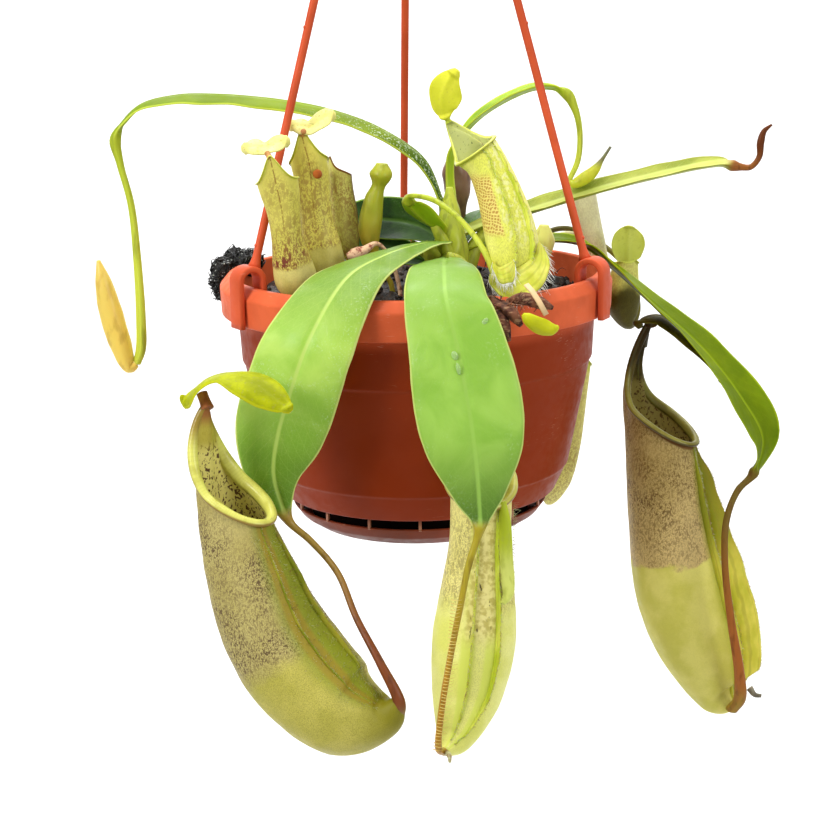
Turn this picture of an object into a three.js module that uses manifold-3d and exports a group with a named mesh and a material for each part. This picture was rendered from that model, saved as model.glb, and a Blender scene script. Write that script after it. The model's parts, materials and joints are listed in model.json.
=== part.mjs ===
// Hanging tropical pitcher plant in a clay-coloured plastic pot with a saucer and a three-armed hanger.
// Millimetres, +Z up. The origin is the seat inside the hook. Plant and pot are placed from the rim's top.
import * as THREE from 'three';
import { mergeVertices } from 'three/addons/utils/BufferGeometryUtils.js';
import Module from 'manifold-3d';

const wasm = await Module();
wasm.setup();

// Driving dimensions
const GAP = 0.3;
const HANG_HEIGHT = 268;
const RIM_RADIUS = 73;
const POT_HEIGHT = 83;
const WALL = 1.6;
const ROUND_SIDES = 32;
const SOIL_TOP = -9;
const ARM_ANGLES = { left: -148, right: -26, back: 94 };
const ARM_RADIUS = 1.5;
const APEX_HEIGHT = 238;
const HUB_SHIFT = 1.2;
const PITCHER_WALL = 1;
const WING_ANGLE = 17;
const STALK_SIZE = 2;

// Colours
const PLASTIC = { color: '#c9603f', roughness: 0.45, metalness: 0 };
const PLASTIC_DARK = { color: '#8f4a35', roughness: 0.45, metalness: 0 };
const SOIL = { color: '#1d1712', roughness: 1, metalness: 0 };
const LEAF = { color: '#7fb04a', roughness: 0.5, metalness: 0 };
const LEAF_DARK = { color: '#3f7330', roughness: 0.5, metalness: 0 };
const LIME = { color: '#b9c84e', roughness: 0.5, metalness: 0 };
const OLIVE = { color: '#b3b267', roughness: 0.5, metalness: 0 };
const PALE = { color: '#c9cf9a', roughness: 0.55, metalness: 0 };
const DRY = { color: '#8a5a3c', roughness: 0.8, metalness: 0 };

const plant = new THREE.Group();
plant.position.set(-HUB_SHIFT, 0, -HANG_HEIGHT);
const group = new THREE.Group();
group.add(plant);

function degrees(angle) {
  return THREE.MathUtils.degToRad(angle);
}

function addNode(parent, name, geometry, look) {
  const mesh = new THREE.Mesh(geometry, new THREE.MeshStandardMaterial(look));
  mesh.name = name;
  parent.add(mesh);
}

function solidOf(geometry) {
  const bare = geometry.clone();
  bare.deleteAttribute('normal');
  bare.deleteAttribute('uv');
  const merged = mergeVertices(bare, 0.001);
  return new wasm.Manifold(new wasm.Mesh({
    numProp: 3,
    vertProperties: new Float32Array(merged.attributes.position.array),
    triVerts: new Uint32Array(merged.index.array),
  }));
}

function geometryOf(solid) {
  const mesh = solid.getMesh();
  const geometry = new THREE.BufferGeometry();
  geometry.setAttribute('position', new THREE.BufferAttribute(mesh.vertProperties, 3));
  geometry.setIndex(new THREE.BufferAttribute(mesh.triVerts, 1));
  return geometry;
}

function fuse(solids) {
  return solids.reduce((whole, piece) => whole.add(piece));
}

// Skins a row of equal rings into one closed body. Past side number mirroredFrom the
// quads split along the other diagonal, so both faces of a thin blade match.
function loft(rings, mirroredFrom = Infinity) {
  const count = rings[0].length;
  const faces = [];
  for (let i = 0; i < rings.length - 1; i += 1) {
    for (let k = 0; k < count; k += 1) {
      const a = i * count + k;
      const b = i * count + ((k + 1) % count);
      const c = a + count;
      const d = b + count;
      if (k < mirroredFrom) faces.push(a, b, d, a, d, c);
      else faces.push(a, b, c, b, d, c);
    }
  }
  const last = (rings.length - 1) * count;
  for (let k = 1; k < count - 1; k += 1) {
    faces.push(0, k + 1, k);
    faces.push(last, last + k, last + k + 1);
  }
  const points = rings.flat();
  if (signedVolume(points, faces) < 0) faces.reverse();
  const geometry = new THREE.BufferGeometry().setFromPoints(points);
  geometry.setIndex(faces);
  return geometry;
}

function signedVolume(points, faces) {
  let sum = 0;
  for (let i = 0; i < faces.length; i += 3) {
    const [p, q, r] = [points[faces[i]], points[faces[i + 1]], points[faces[i + 2]]];
    sum += p.dot(q.clone().cross(r));
  }
  return sum / 6;
}

// A row of a path is [x, y, z, half width or radius]. A grown path runs a little past both ends.
function readPath(rows) {
  const line = new THREE.CatmullRomCurve3(rows.map(([x, y, z]) => new THREE.Vector3(x, y, z)), false, 'centripetal');
  const size = new THREE.SplineCurve(rows.map((row, i) => new THREE.Vector2(i, row[3])));
  return {
    point: (u) => line.getPoint(u),
    tangent: (u) => line.getTangent(u),
    size: (u) => Math.max(size.getPoint(u).y, 0.45),
  };
}

function grownPath(rows, grow) {
  if (grow === 0) return rows;
  const ends = [[rows[0], rows[1]], [rows[rows.length - 1], rows[rows.length - 2]]];
  const [first, last] = ends.map(([end, next]) => {
    const place = new THREE.Vector3(...end.slice(0, 3));
    const inward = new THREE.Vector3(...next.slice(0, 3)).sub(place).normalize();
    place.addScaledVector(inward, -grow);
    return [place.x, place.y, place.z, end[3]];
  });
  return [first, ...rows.slice(1, -1), last];
}

// Where the rings stand along a path: two to a stretch, or one where it is a thin stalk or coarse.
function stationsOf(rows, coarse = false) {
  const marks = [0];
  for (let i = 1; i < rows.length; i += 1) {
    const thin = rows[i - 1][3] < STALK_SIZE && rows[i][3] < STALK_SIZE;
    if (!thin && !coarse) marks.push((i - 0.5) / (rows.length - 1));
    marks.push(i / (rows.length - 1));
  }
  return marks;
}

function smooth(low, high, value) {
  return THREE.MathUtils.smoothstep(value, low, high);
}

function across(hint, tangent) {
  return hint.clone().addScaledVector(tangent, -hint.dot(tangent)).normalize();
}

// A leaf: a flat or folded blade with a midrib, which narrows at either end to a round stalk or tendril.
// sides lists directions across the blade, spread evenly along it.
const BLADE_COLUMNS = [-1, -0.5, 0, 0.5, 1];
const BLADE_TOP = [0.32, 0.5, 0.75, 0.5, 0.32];
const BLADE_UNDER = [0.32, 0.5, 1, 0.5, 0.32];
const BLADE_SIZE = 3.6;

function bladeSection(half, fold, edgeLift, grow) {
  const flat = smooth(STALK_SIZE, BLADE_SIZE, half);
  const section = [];
  for (const face of [1, -1]) {
    const thickness = face > 0 ? BLADE_TOP : BLADE_UNDER;
    BLADE_COLUMNS.forEach((column, k) => {
      const angle = degrees(162 - 36 * k);
      const lift = fold * half * column * column + edgeLift * Math.abs(column) ** 3 * (column < 0 ? 1 : -1);
      const wide = (half + grow) * column;
      const high = (thickness[k] + grow) * face + lift;
      const roundWide = (half + grow) * Math.cos(angle);
      const roundHigh = (half + grow) * Math.sin(angle) * face;
      section.push([
        THREE.MathUtils.lerp(roundWide, wide, flat),
        THREE.MathUtils.lerp(roundHigh, high, flat),
      ]);
    });
    if (face < 0) section.splice(5, 5, ...section.slice(5).reverse());
  }
  return section;
}

function blade({ path, sides, fold = 0, wave = 0, waves = 3, grow = 0, coarse = false }) {
  const shape = readPath(grownPath(path, grow));
  const rings = [];
  for (const u of stationsOf(path, coarse)) {
    const along = shape.tangent(u);
    const place = u * (sides.length - 1);
    const low = Math.min(Math.floor(place), sides.length - 2);
    const hint = new THREE.Vector3(...sides[low]).lerp(new THREE.Vector3(...sides[low + 1]), place - low);
    const side = across(hint, along);
    const up = along.clone().cross(side);
    const half = shape.size(u);
    const ripple = wave * half * Math.sin(2 * Math.PI * waves * u);
    rings.push(bladeSection(half, fold, ripple, grow).map(([wide, high]) => (
      shape.point(u).addScaledVector(side, wide).addScaledVector(up, high))));
  }
  return loft(rings, 5);
}

// A round stalk, bud or stem along a path.
function stalk({ path, sides = 8, grow = 0 }) {
  const shape = readPath(grownPath(path, grow));
  const rings = [];
  let side = new THREE.Vector3(1, 0.3, 0.1);
  for (const u of stationsOf(path)) {
    const along = shape.tangent(u);
    side = across(side, along);
    const other = along.clone().cross(side);
    const radius = shape.size(u) + grow;
    rings.push(Array.from({ length: sides }, (_, k) => {
      const angle = (2 * Math.PI * k) / sides;
      return shape.point(u)
        .addScaledVector(side, radius * Math.cos(angle))
        .addScaledVector(other, radius * Math.sin(angle));
    }));
  }
  return loft(rings);
}

// A pitcher: a closed tip, a round body and a slanting mouth that rises to a pointed neck at the back.
// path runs from the tip to the middle of the mouth, and front points to the low side of the mouth.
function pitcherFrames(spec) {
  const shape = readPath(spec.path);
  let forward = new THREE.Vector3(...spec.front);
  const frames = stationsOf(spec.path).reverse().map((u) => {
    const along = shape.tangent(u);
    forward = across(forward, along);
    const side = along.clone().cross(forward);
    return { u, along, forward, side, point: shape.point(u), radius: shape.size(u) };
  });
  return frames.reverse();
}

function pitcherPoint(frame, spec, angle, swell, lift) {
  const mouthRadius = spec.path[spec.path.length - 1][3];
  const opening = smooth(0.5, 1, frame.u);
  const back = Math.max(0, -Math.cos(angle));
  const peak = back ** (spec.neckPower ?? 6);
  const rise = (-spec.slope * Math.cos(angle) + spec.neck * peak) * mouthRadius * opening;
  const neckPinch = (spec.pinch ?? 0) * back ** (spec.pinchPower ?? 6) * opening;
  const reach = frame.radius * (1 - neckPinch) + swell;
  const narrow = 1 - (spec.narrow ?? 0) * opening;
  const lean = (spec.lean ?? 0) * mouthRadius * peak * opening;
  return frame.point.clone()
    .addScaledVector(frame.forward, reach * Math.cos(angle) + lean)
    .addScaledVector(frame.side, reach * narrow * Math.sin(angle))
    .addScaledVector(frame.along, rise + lift);
}

function pitcherBody(spec, frames) {
  const { sides = 12, lip = 1.5, cavity = 0.4 } = spec;
  const ring = (frame, swell, lift) => Array.from({ length: sides }, (_, k) => (
    pitcherPoint(frame, spec, (2 * Math.PI * k) / sides, swell, lift)));
  const mouth = frames[frames.length - 1];
  const hollow = frames.filter((frame) => frame.u >= cavity && frame.u < 1).reverse();
  return solidOf(loft([
    ...frames.map((frame) => ring(frame, 0, 0)),
    ring(mouth, lip, 0.2),
    ring(mouth, lip * 0.3, 1),
    ring(mouth, -PITCHER_WALL - 0.4, 0.3),
    ...hollow.map((frame) => ring(frame, -PITCHER_WALL, 0)),
  ]));
}

function pitcherWing(spec, frames, angle) {
  const rings = frames.filter((frame, i) => frame.u > 0.1 && i % 2 === 0).map((frame) => {
    const bulge = Math.sin(Math.PI * frame.u ** (spec.wingLow ?? 1));
    const height = spec.wing * (0.35 + 0.65 * bulge + 0.12 * Math.sin(40 * frame.u));
    const corners = [[-0.7, -0.55], [height, -0.4], [height, 0.4], [-0.7, 0.55]];
    return corners.map(([out, offset]) => (
      pitcherPoint(frame, spec, angle, out, 0).addScaledVector(frame.side, offset)));
  });
  return solidOf(loft(rings));
}

function pitcherFromSpec(spec) {
  const frames = pitcherFrames(spec);
  const pieces = [pitcherBody(spec, frames)];
  if (spec.wing) {
    const turn = spec.wingTurn ?? 0;
    pieces.push(pitcherWing(spec, frames, degrees(turn + WING_ANGLE)));
    pieces.push(pitcherWing(spec, frames, degrees(turn - WING_ANGLE)));
  }
  if (spec.lid) {
    const neck = pitcherPoint(frames[frames.length - 1], spec, Math.PI, -0.3, -0.6);
    const stem = { path: [[...neck.toArray(), 1.4], [...spec.lid.seat, 1.2]], sides: 6 };
    pieces.push(solidOf(stalk(stem)), solidOf(blade({ ...spec.lid, coarse: true })));
  }
  return fuse(pieces);
}

// The point just short of a pitcher's tip, where the tendril that carries it ends.
function tendrilEnd(spec, radius) {
  return [...grownPath(spec.path, GAP)[0].slice(0, 3), radius];
}

// Pot: a rim band with a bevelled top, a tapering body with a step and a groove, a flat floor with drain holes
const RIM_DROP = 14;
const RIM_INNER = RIM_RADIUS - 5.5;
const FLOOR_UNDER = -POT_HEIGHT;
const SKIRT_RADIUS = 38;
const DRAIN_HOLE_RADIUS = 1.9;

function turned(profile, sides = ROUND_SIDES) {
  const points = profile.map(([radius, height]) => new THREE.Vector2(radius, height));
  return new THREE.LatheGeometry(points, sides).rotateX(Math.PI / 2);
}

function potWallProfile(inset) {
  return [
    [51.9 - inset, FLOOR_UNDER],
    [56.4 - inset, FLOOR_UNDER + 9.6],
    [56.9 - inset, FLOOR_UNDER + 10.2],
    [65 - inset, -32.8],
    [65.7 - inset, -32],
    [66.8 - inset, -RIM_DROP],
  ];
}

function potSolid() {
  const outer = potWallProfile(0);
  const inner = potWallProfile(WALL).filter((_, i) => i > 1 && i !== 4).reverse();
  const body = solidOf(turned([
    [0, FLOOR_UNDER],
    [SKIRT_RADIUS - WALL, FLOOR_UNDER],
    [SKIRT_RADIUS - WALL, FLOOR_UNDER - 9.6],
    [SKIRT_RADIUS, FLOOR_UNDER - 9.6],
    [SKIRT_RADIUS, FLOOR_UNDER],
    ...outer,
    [RIM_RADIUS - 0.3, -RIM_DROP],
    [RIM_RADIUS + 0.2, -3.8],
    [RIM_RADIUS - 3, 0],
    [RIM_INNER, 0],
    [RIM_INNER, -RIM_DROP + 1.5],
    ...inner,
    [52, FLOOR_UNDER + 2],
    [0, FLOOR_UNDER + 2],
  ]));
  const drains = [0, 1, 2, 3, 4].map((k) => {
    const hole = new THREE.CylinderGeometry(DRAIN_HOLE_RADIUS, DRAIN_HOLE_RADIUS, 10, 10).rotateX(Math.PI / 2);
    const angle = (2 * Math.PI * k) / 5;
    hole.translate(26 * Math.cos(angle), 26 * Math.sin(angle), FLOOR_UNDER);
    return solidOf(hole);
  });
  return body.subtract(fuse(drains));
}

addNode(plant, 'pot', geometryOf(potSolid()), PLASTIC);

// Saucer: a shallow dish pushed onto the pot's skirt, with short pins between its lip and the pot's floor
const SAUCER_LIP_RADIUS = 48.6;
const SAUCER_FOOT_RADIUS = 39.9;
const SAUCER_UNDER = FLOOR_UNDER - 12;
const SAUCER_LIP = FLOOR_UNDER - 2.7;
const PIN_COUNT = 16;

function saucerSolid() {
  const floorTop = SAUCER_UNDER + 2;
  const dish = solidOf(turned([
    [0, SAUCER_UNDER],
    [SAUCER_FOOT_RADIUS, SAUCER_UNDER],
    [SAUCER_FOOT_RADIUS + 5.6, SAUCER_UNDER + 3.6],
    [SAUCER_LIP_RADIUS, SAUCER_LIP],
    [SAUCER_LIP_RADIUS - WALL, SAUCER_LIP],
    [SAUCER_FOOT_RADIUS + 4, SAUCER_UNDER + 4.6],
    [SKIRT_RADIUS + GAP, floorTop],
    [0, floorTop],
  ], 30));
  const pins = Array.from({ length: PIN_COUNT }, (_, k) => {
    const top = FLOOR_UNDER - GAP;
    const bottom = SAUCER_LIP - 1;
    const pin = new THREE.BoxGeometry(1.1, 1.1, top - bottom);
    pin.translate(SAUCER_LIP_RADIUS - WALL / 2, 0, (top + bottom) / 2);
    pin.rotateZ((2 * Math.PI * k) / PIN_COUNT);
    return solidOf(pin);
  });
  return dish.add(fuse(pins));
}

addNode(plant, 'saucer', geometryOf(saucerSolid()), PLASTIC_DARK);

// Hanger arms: a round bar that rises from an upside-down U clip over the rim to a socket in the hub
const CLIP_WIDTH = 8;
const CLIP_THICK = 2.2;
const CLIP_OUTER = RIM_RADIUS + 0.6;
const CLIP_INNER = RIM_INNER - 0.8;
const ARM_FOOT_RADIUS = (CLIP_OUTER + CLIP_INNER) / 2 - 2.6;
const ARM_FOOT_HEIGHT = 7;
const HUB_UNDER = 224;
const ARM_END = 231;

function clipShape() {
  const middle = (CLIP_OUTER + CLIP_INNER) / 2;
  const inside = (CLIP_OUTER - CLIP_INNER) / 2;
  const outside = inside + CLIP_THICK;
  const shape = new THREE.Shape();
  shape.moveTo(middle - outside, -10);
  shape.lineTo(middle - outside, 2.5);
  shape.absarc(middle, 2.5, outside, Math.PI, 0, true);
  shape.lineTo(middle + outside, -RIM_DROP);
  shape.lineTo(middle + inside, -RIM_DROP);
  shape.lineTo(middle + inside, 2.5);
  shape.absarc(middle, 2.5, inside, 0, Math.PI, false);
  shape.lineTo(middle - inside, -10);
  shape.closePath();
  return shape;
}

function armBar(angle, grow) {
  const low = new THREE.Vector3(ARM_FOOT_RADIUS, 0, ARM_FOOT_HEIGHT).applyAxisAngle(new THREE.Vector3(0, 0, 1), angle);
  const apex = new THREE.Vector3(HUB_SHIFT, 0, APEX_HEIGHT);
  const high = low.clone().lerp(apex, (ARM_END - low.z) / (APEX_HEIGHT - low.z));
  const along = high.clone().sub(low);
  const bar = new THREE.CylinderGeometry(ARM_RADIUS + grow, ARM_RADIUS + grow, along.length() + 2 * grow, 8);
  const turn = new THREE.Quaternion().setFromUnitVectors(new THREE.Vector3(0, 1, 0), along.clone().normalize());
  bar.applyQuaternion(turn);
  const centre = low.add(high).multiplyScalar(0.5);
  return solidOf(bar.translate(centre.x, centre.y, centre.z));
}

function armSolid(angle) {
  const clip = new THREE.ExtrudeGeometry(clipShape(), { depth: CLIP_WIDTH, bevelEnabled: false, curveSegments: 6 });
  clip.translate(0, 0, -CLIP_WIDTH / 2).rotateX(Math.PI / 2).rotateZ(angle);
  return solidOf(clip).add(armBar(angle, 0));
}

for (const [name, angle] of Object.entries(ARM_ANGLES)) {
  addNode(plant, `hanger_arm_${name}`, geometryOf(armSolid(degrees(angle))), PLASTIC);
}

// Hook: a flat moulded crook on a round hub, with a flat seat at its crown
const HOOK_THICK = 4;
const HOOK_WIDTH = 5.6;
const CROOK_RADIUS = 8;
const SEAT_HALF = 3;
const HUB_RADIUS = 7.5;
const HUB_TOP = 234;

function hookShape() {
  const outer = CROOK_RADIUS + HOOK_THICK;
  const stemLow = HUB_TOP - 2 - HANG_HEIGHT;
  const shape = new THREE.Shape();
  shape.moveTo(HOOK_THICK / 2, stemLow);
  shape.lineTo(HOOK_THICK / 2, -25);
  shape.lineTo(SEAT_HALF + outer - 1.5, -14);
  shape.lineTo(SEAT_HALF + outer, -CROOK_RADIUS);
  shape.absarc(SEAT_HALF, -CROOK_RADIUS, outer, 0, Math.PI / 2, false);
  shape.absarc(-SEAT_HALF, -CROOK_RADIUS, outer, Math.PI / 2, Math.PI, false);
  shape.lineTo(-SEAT_HALF - outer, -14);
  shape.lineTo(-SEAT_HALF - CROOK_RADIUS, -14);
  shape.absarc(-SEAT_HALF, -CROOK_RADIUS, CROOK_RADIUS, Math.PI, Math.PI / 2, true);
  shape.absarc(SEAT_HALF, -CROOK_RADIUS, CROOK_RADIUS, Math.PI / 2, 0, true);
  shape.lineTo(SEAT_HALF + CROOK_RADIUS - 1, -12.5);
  shape.lineTo(-HOOK_THICK / 2, -23);
  shape.lineTo(-HOOK_THICK / 2, stemLow);
  shape.closePath();
  return shape;
}

function hookSolid() {
  const crook = new THREE.ExtrudeGeometry(hookShape(), { depth: HOOK_WIDTH, bevelEnabled: false, curveSegments: 6 });
  crook.translate(0, 0, -HOOK_WIDTH / 2).rotateX(Math.PI / 2);
  const hub = turned([[0, HUB_UNDER], [HUB_RADIUS - 1, HUB_UNDER], [HUB_RADIUS, HUB_UNDER + 1],
    [HUB_RADIUS, HUB_TOP - 3], [HUB_RADIUS - 3, HUB_TOP], [0, HUB_TOP]], 16);
  const sockets = Object.values(ARM_ANGLES).map((angle) => armBar(degrees(angle), GAP));
  const seated = solidOf(hub).subtract(fuse(sockets).translate([-HUB_SHIFT, 0, 0])).translate([0, 0, -HANG_HEIGHT]);
  return seated.add(solidOf(crook));
}

addNode(group, 'hanger_hook', geometryOf(hookSolid()), PLASTIC);

// Crown: the short stem that all the leaves grow from
const CROWN = {
  path: [[14, 1, -22, 5.5], [14, 1, -6, 6.5], [13.5, 1, 6, 6.2], [13, 2, 14, 5.4], [13, 3, 22, 3.6], [13, 4, 30, 1.2]],
  sides: 10,
};

// Pitchers that hang at the ends of tendrils outside the pot
const LEFT_PITCHER = {
  path: [[-8, -107, -129, 1.6], [-12.5, -104, -135, 7.5], [-26, -98.5, -135.5, 16], [-41, -93, -123.5, 18.5],
    [-51.4, -90.5, -107, 17.7], [-57.6, -90, -88, 16.4], [-61.4, -90, -72, 14.8], [-63.5, -90, -59.4, 13.3]],
  front: [0.835, -0.55, 0],
  slope: 0.81,
  neck: 1.44,
  neckPower: 2,
  pinch: 0.52,
  pinchPower: 4.4,
  narrow: 0.28,
  lean: 0.3,
  wing: 4.2,
  cavity: 0.3,
  lid: {
    seat: [-71.6, -86, -27.5],
    path: [[-79, -84, -30, 1.6], [-76, -85, -28.4, 6.5], [-70.5, -87, -24.6, 8], [-63, -90, -22.6, 7.6],
      [-56, -93.5, -24, 8.6], [-48.5, -97, -28, 7.6], [-41.6, -99.6, -32.4, 1.6]],
    sides: [[0.3, 0.85, 0.5], [0.3, 0.85, 0.5], [0.35, 0.9, 0.2], [0.35, 0.93, 0], [0.3, 0.88, 0.3], [0.3, 0.8, 0.6],
      [0.3, 0.8, 0.6]],
    fold: -0.12,
  },
};

const CENTRE_PITCHER = {
  path: [[7, -99, -151, 1.5], [10.5, -92, -151, 6.5], [15, -83, -139, 11.2], [18, -79, -119, 13.5],
    [19.6, -77.5, -100, 12.4], [20.5, -77, -84, 11], [21, -76, -71, 11.2], [21, -75.5, -61, 12]],
  front: [0.1, -1, 0],
  slope: 0.6,
  neck: 0.5,
  narrow: 0.1,
  sides: 10,
  wing: 2.8,
  cavity: 0.3,
  lid: {
    seat: [20.6, -66, -44.6],
    path: [[21, -63.4, -46.6, 1.6], [21, -66.5, -44, 5], [21, -73, -39.5, 8], [21, -81, -41, 7], [21, -86, -45, 2.2]],
    sides: [[1, 0, 0], [1, 0, 0]],
    fold: -0.2,
  },
};

const RIGHT_PITCHER = {
  path: [[121.3, -9, -173.5, 1.6], [116.5, -4, -172, 7], [108.5, 2, -153, 14.6], [101.5, 6, -130, 17.2],
    [97.5, 9, -105, 15.6], [95.2, 11, -81, 14.3], [93.3, 13, -61, 13.9]],
  front: [0.804, -0.595, 0],
  slope: 0.8,
  neck: 1.89,
  neckPower: 4.7,
  pinch: 0.57,
  pinchPower: 4.6,
  narrow: 0.25,
  lean: 0.42,
  wing: 9.5,
  wingTurn: 20,
  wingLow: 0.6,
  cavity: 0.33,
  lid: {
    seat: [89, 16, -23],
    path: [[77.6, 17, -31, 1.8], [81, 17.4, -24.6, 6], [89, 18, -21.8, 8.4], [99, 18, -27.4, 7.6], [106, 17.6, -36, 2.4]],
    sides: [[0.2, 1, 0], [0.2, 1, 0]],
    fold: -0.2,
  },
};

const UPPER_PITCHER = {
  path: [[28.4, -53, 2.2, 1.4], [31.2, -51, 1.6, 4.6], [34.2, -48.5, 7, 8], [34.7, -46, 14, 8.6], [33, -43, 24, 8],
    [29.6, -40, 34, 7.2], [25, -37, 43, 7.2], [21.5, -34.5, 47.1, 8]],
  front: [0.24, -0.97, 0],
  slope: 0.51,
  neck: 1.63,
  neckPower: 4.7,
  pinch: 0.32,
  pinchPower: 4.9,
  lean: 0.13,
  sides: 12,
  wing: 2.6,
  wingTurn: 22,
  cavity: 0.35,
  lid: {
    seat: [11.6, -24.4, 58],
    path: [[11.7, -24.6, 57.4, 1.4], [10.6, -25.6, 61, 5], [11, -27, 66, 6.6], [12.8, -28.4, 70.6, 5], [15.6, -29.4, 74.6, 1.2]],
    sides: [[0.85, -0.5, 0], [0.85, -0.5, 0]],
    fold: 0.15,
  },
};

// Smaller pitchers, each on a tendril that comes up through the soil or over the rim
const RIM_FRONT_PITCHER = {
  path: [[-34, -27, -17, 1.2], [-34, -27, -7, 1.2], [-38.5, -32.5, -5.6, 2.6], [-41, -36, 1.5, 7], [-42.4, -37.4, 9, 7.1],
    [-44, -39.6, 20, 6.4], [-46, -41.8, 30, 6.9], [-47.5, -43.5, 36.5, 7.4]],
  front: [0.05, 1, 0],
  slope: 0.35,
  neck: 0.8,
  sides: 10,
  lip: 0.8,
  cavity: 0.45,
  lid: {
    seat: [-50.2, -48.5, 47],
    path: [[-50.4, -50, 46, 1.6], [-50.6, -47.5, 48, 4.4], [-51, -42.5, 50, 8.3], [-51.4, -37.5, 49, 7], [-51.4, -34.4, 47.4, 2]],
    sides: [[1, 0, 0.15], [1, 0, 0.15]],
  },
};

const RIM_REAR_PITCHER = {
  path: [[-23, -17, -17, 1.2], [-23, -17, -6, 1.2], [-28, -18.5, -3, 2.6], [-30.5, -20, 5, 7], [-32, -20, 13, 7.2],
    [-34, -20, 24, 6.5], [-36, -20, 34, 7], [-37.5, -20, 42, 7.4]],
  front: [0.05, 1, 0],
  slope: 0.4,
  neck: 0.8,
  sides: 10,
  lip: 0.8,
  cavity: 0.45,
  lid: {
    seat: [-39.4, -27, 53.4],
    path: [[-39.6, -28.6, 52.4, 1.6], [-39.4, -26.6, 54, 4.4], [-38.4, -23.4, 56.4, 8.2], [-37.6, -20.4, 56.8, 7], [-37, -18.4, 56, 2]],
    sides: [[1, 0, 0.4], [1, 0, 0.4]],
  },
};

const TORN_PITCHER = {
  path: [[-20, -8, -17, 1], [-20, -8, -6, 1], [-23, -7, 3, 1.6], [-25, -6, 12, 4.4], [-26, -5, 22, 4.8], [-27, -5, 31, 4.6],
    [-27.4, -5, 38, 4.6]],
  front: [0.9, 0.4, 0],
  slope: 0.5,
  neck: 0.3,
  sides: 6,
  lip: 0.4,
  cavity: 1,
};

const PALE_PITCHER = {
  path: [[46, 30, -17, 1.1], [46, 30, -3, 1.1], [54, 35, 5.5, 1.1], [63, 42, 6, 1.1], [72, 47, -3, 1.1], [77.4, 46.4, -16, 1.3],
    [76, 43.4, -22, 2.4], [73.6, 41.4, -13, 4.1], [71, 41, 0, 4.5], [68.4, 40.4, 12, 4.6], [66, 40, 24, 5]],
  front: [0.3, 1, 0],
  slope: 0.4,
  neck: 0.6,
  sides: 7,
  lip: 0.7,
  cavity: 1,
};

const ROUND_LID_PITCHER = {
  path: [[42, 42, -17, 1.1], [42, 42, -4, 1.1], [50, 50, 4.5, 1.1], [61, 57, 6.5, 1.1], [75, 56, 0, 1.1], [85, 47, -16, 1.1],
    [89.5, 42, -33, 1.3], [87, 38, -38, 2.6], [84, 36.4, -28, 5.2], [83, 36, -17, 5.4], [83, 36, -8, 5.4]],
  front: [-0.2, 1, 0],
  slope: 0.3,
  neck: 0.5,
  sides: 7,
  lip: 0.7,
  cavity: 1,
  lid: {
    seat: [84.2, 29.6, -1.5],
    path: [[84.2, 29.4, -2.6, 2], [84.4, 29.4, 0, 4.6], [84.8, 29.6, 4, 6.6], [84.8, 29.8, 8.5, 5], [84.8, 30, 11.6, 1.4]],
    sides: [[1, 0.1, 0], [1, 0.1, 0]],
  },
};

const BEHIND_PITCHER = {
  path: [[20, 52, -17, 1.1], [20, 52, -4, 1.1], [28, 63, 5.5, 1.1], [38, 74, 3, 1.1], [47, 81, -18, 1.1], [52, 84, -60, 1.1],
    [53, 82, -100, 1.2], [55, 78, -113, 2.2], [58.5, 74, -104, 5.4], [61.5, 71, -88, 6.4], [64, 69, -70, 6], [66, 68, -52, 6.2]],
  front: [-0.3, 1, 0],
  slope: 0.4,
  neck: 0.6,
  sides: 7,
  lip: 0.7,
  cavity: 1,
};

const PITCHERS = {
  pitcher_left: [LEFT_PITCHER, OLIVE],
  pitcher_centre: [CENTRE_PITCHER, OLIVE],
  pitcher_right: [RIGHT_PITCHER, OLIVE],
  pitcher_upper: [UPPER_PITCHER, LIME],
  pitcher_rim_front: [RIM_FRONT_PITCHER, OLIVE],
  pitcher_rim_rear: [RIM_REAR_PITCHER, OLIVE],
  pitcher_torn: [TORN_PITCHER, DRY],
  pitcher_pale: [PALE_PITCHER, PALE],
  pitcher_round_lid: [ROUND_LID_PITCHER, LIME],
  pitcher_behind: [BEHIND_PITCHER, PALE],
};

for (const [name, [spec, look]] of Object.entries(PITCHERS)) {
  addNode(plant, name, geometryOf(pitcherFromSpec(spec)), look);
}

// Closed buds and young pitchers
const LEFT_BUD = {
  path: [[-103.4, -18, -30.5, 1.5], [-106, -18, -31.5, 2.6], [-109, -18, -23, 4.1], [-112, -18, -11, 4.3],
    [-114, -18, 0, 3], [-115.4, -18, 8, 0.7]],
};
const RIGHT_BUD = {
  path: [[58, 12, 30.4, 1], [60, 12, 30, 2], [64, 11, 32.5, 2.9], [68, 10.5, 36, 2.7], [71, 10, 39.5, 1.2], [74, 10, 44, 0.6]],
};
const YOUNG_PITCHER = {
  path: [[-9, -14, -17, 1], [-9, -14, -4, 1], [-14, -14.5, 6, 1.2], [-16.6, -14.5, 14, 3.6], [-16, -14, 21, 4.2],
    [-14.4, -14, 29, 3.3], [-13, -14, 33, 2.5], [-12, -14, 37, 4.1], [-11.6, -14, 41, 2.4]],
};
const YELLOW_BUD = {
  path: [[40, -24, -17, 1], [40, -24, -5, 1], [43, -21, 1, 1.8], [45, -20, 7, 3.4], [46.4, -20, 13, 4.1], [46.6, -20, 18.5, 2]],
};
const DARK_BUD = {
  path: [[20, 34, -17, 1], [20, 34, 0, 1], [18, 30, 14, 1.4], [16.6, 28, 24, 4.4], [16, 27, 33, 5.4], [15.4, 26, 42, 2]],
};

const BUDS = {
  bud_left: [LEFT_BUD, OLIVE],
  bud_right: [RIGHT_BUD, LIME],
  pitcher_young: [YOUNG_PITCHER, LEAF],
  bud_yellow: [YELLOW_BUD, LIME],
  bud_dark: [DARK_BUD, DRY],
};

for (const [name, [spec, look]] of Object.entries(BUDS)) {
  addNode(plant, name, stalk(spec), look);
}

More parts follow.
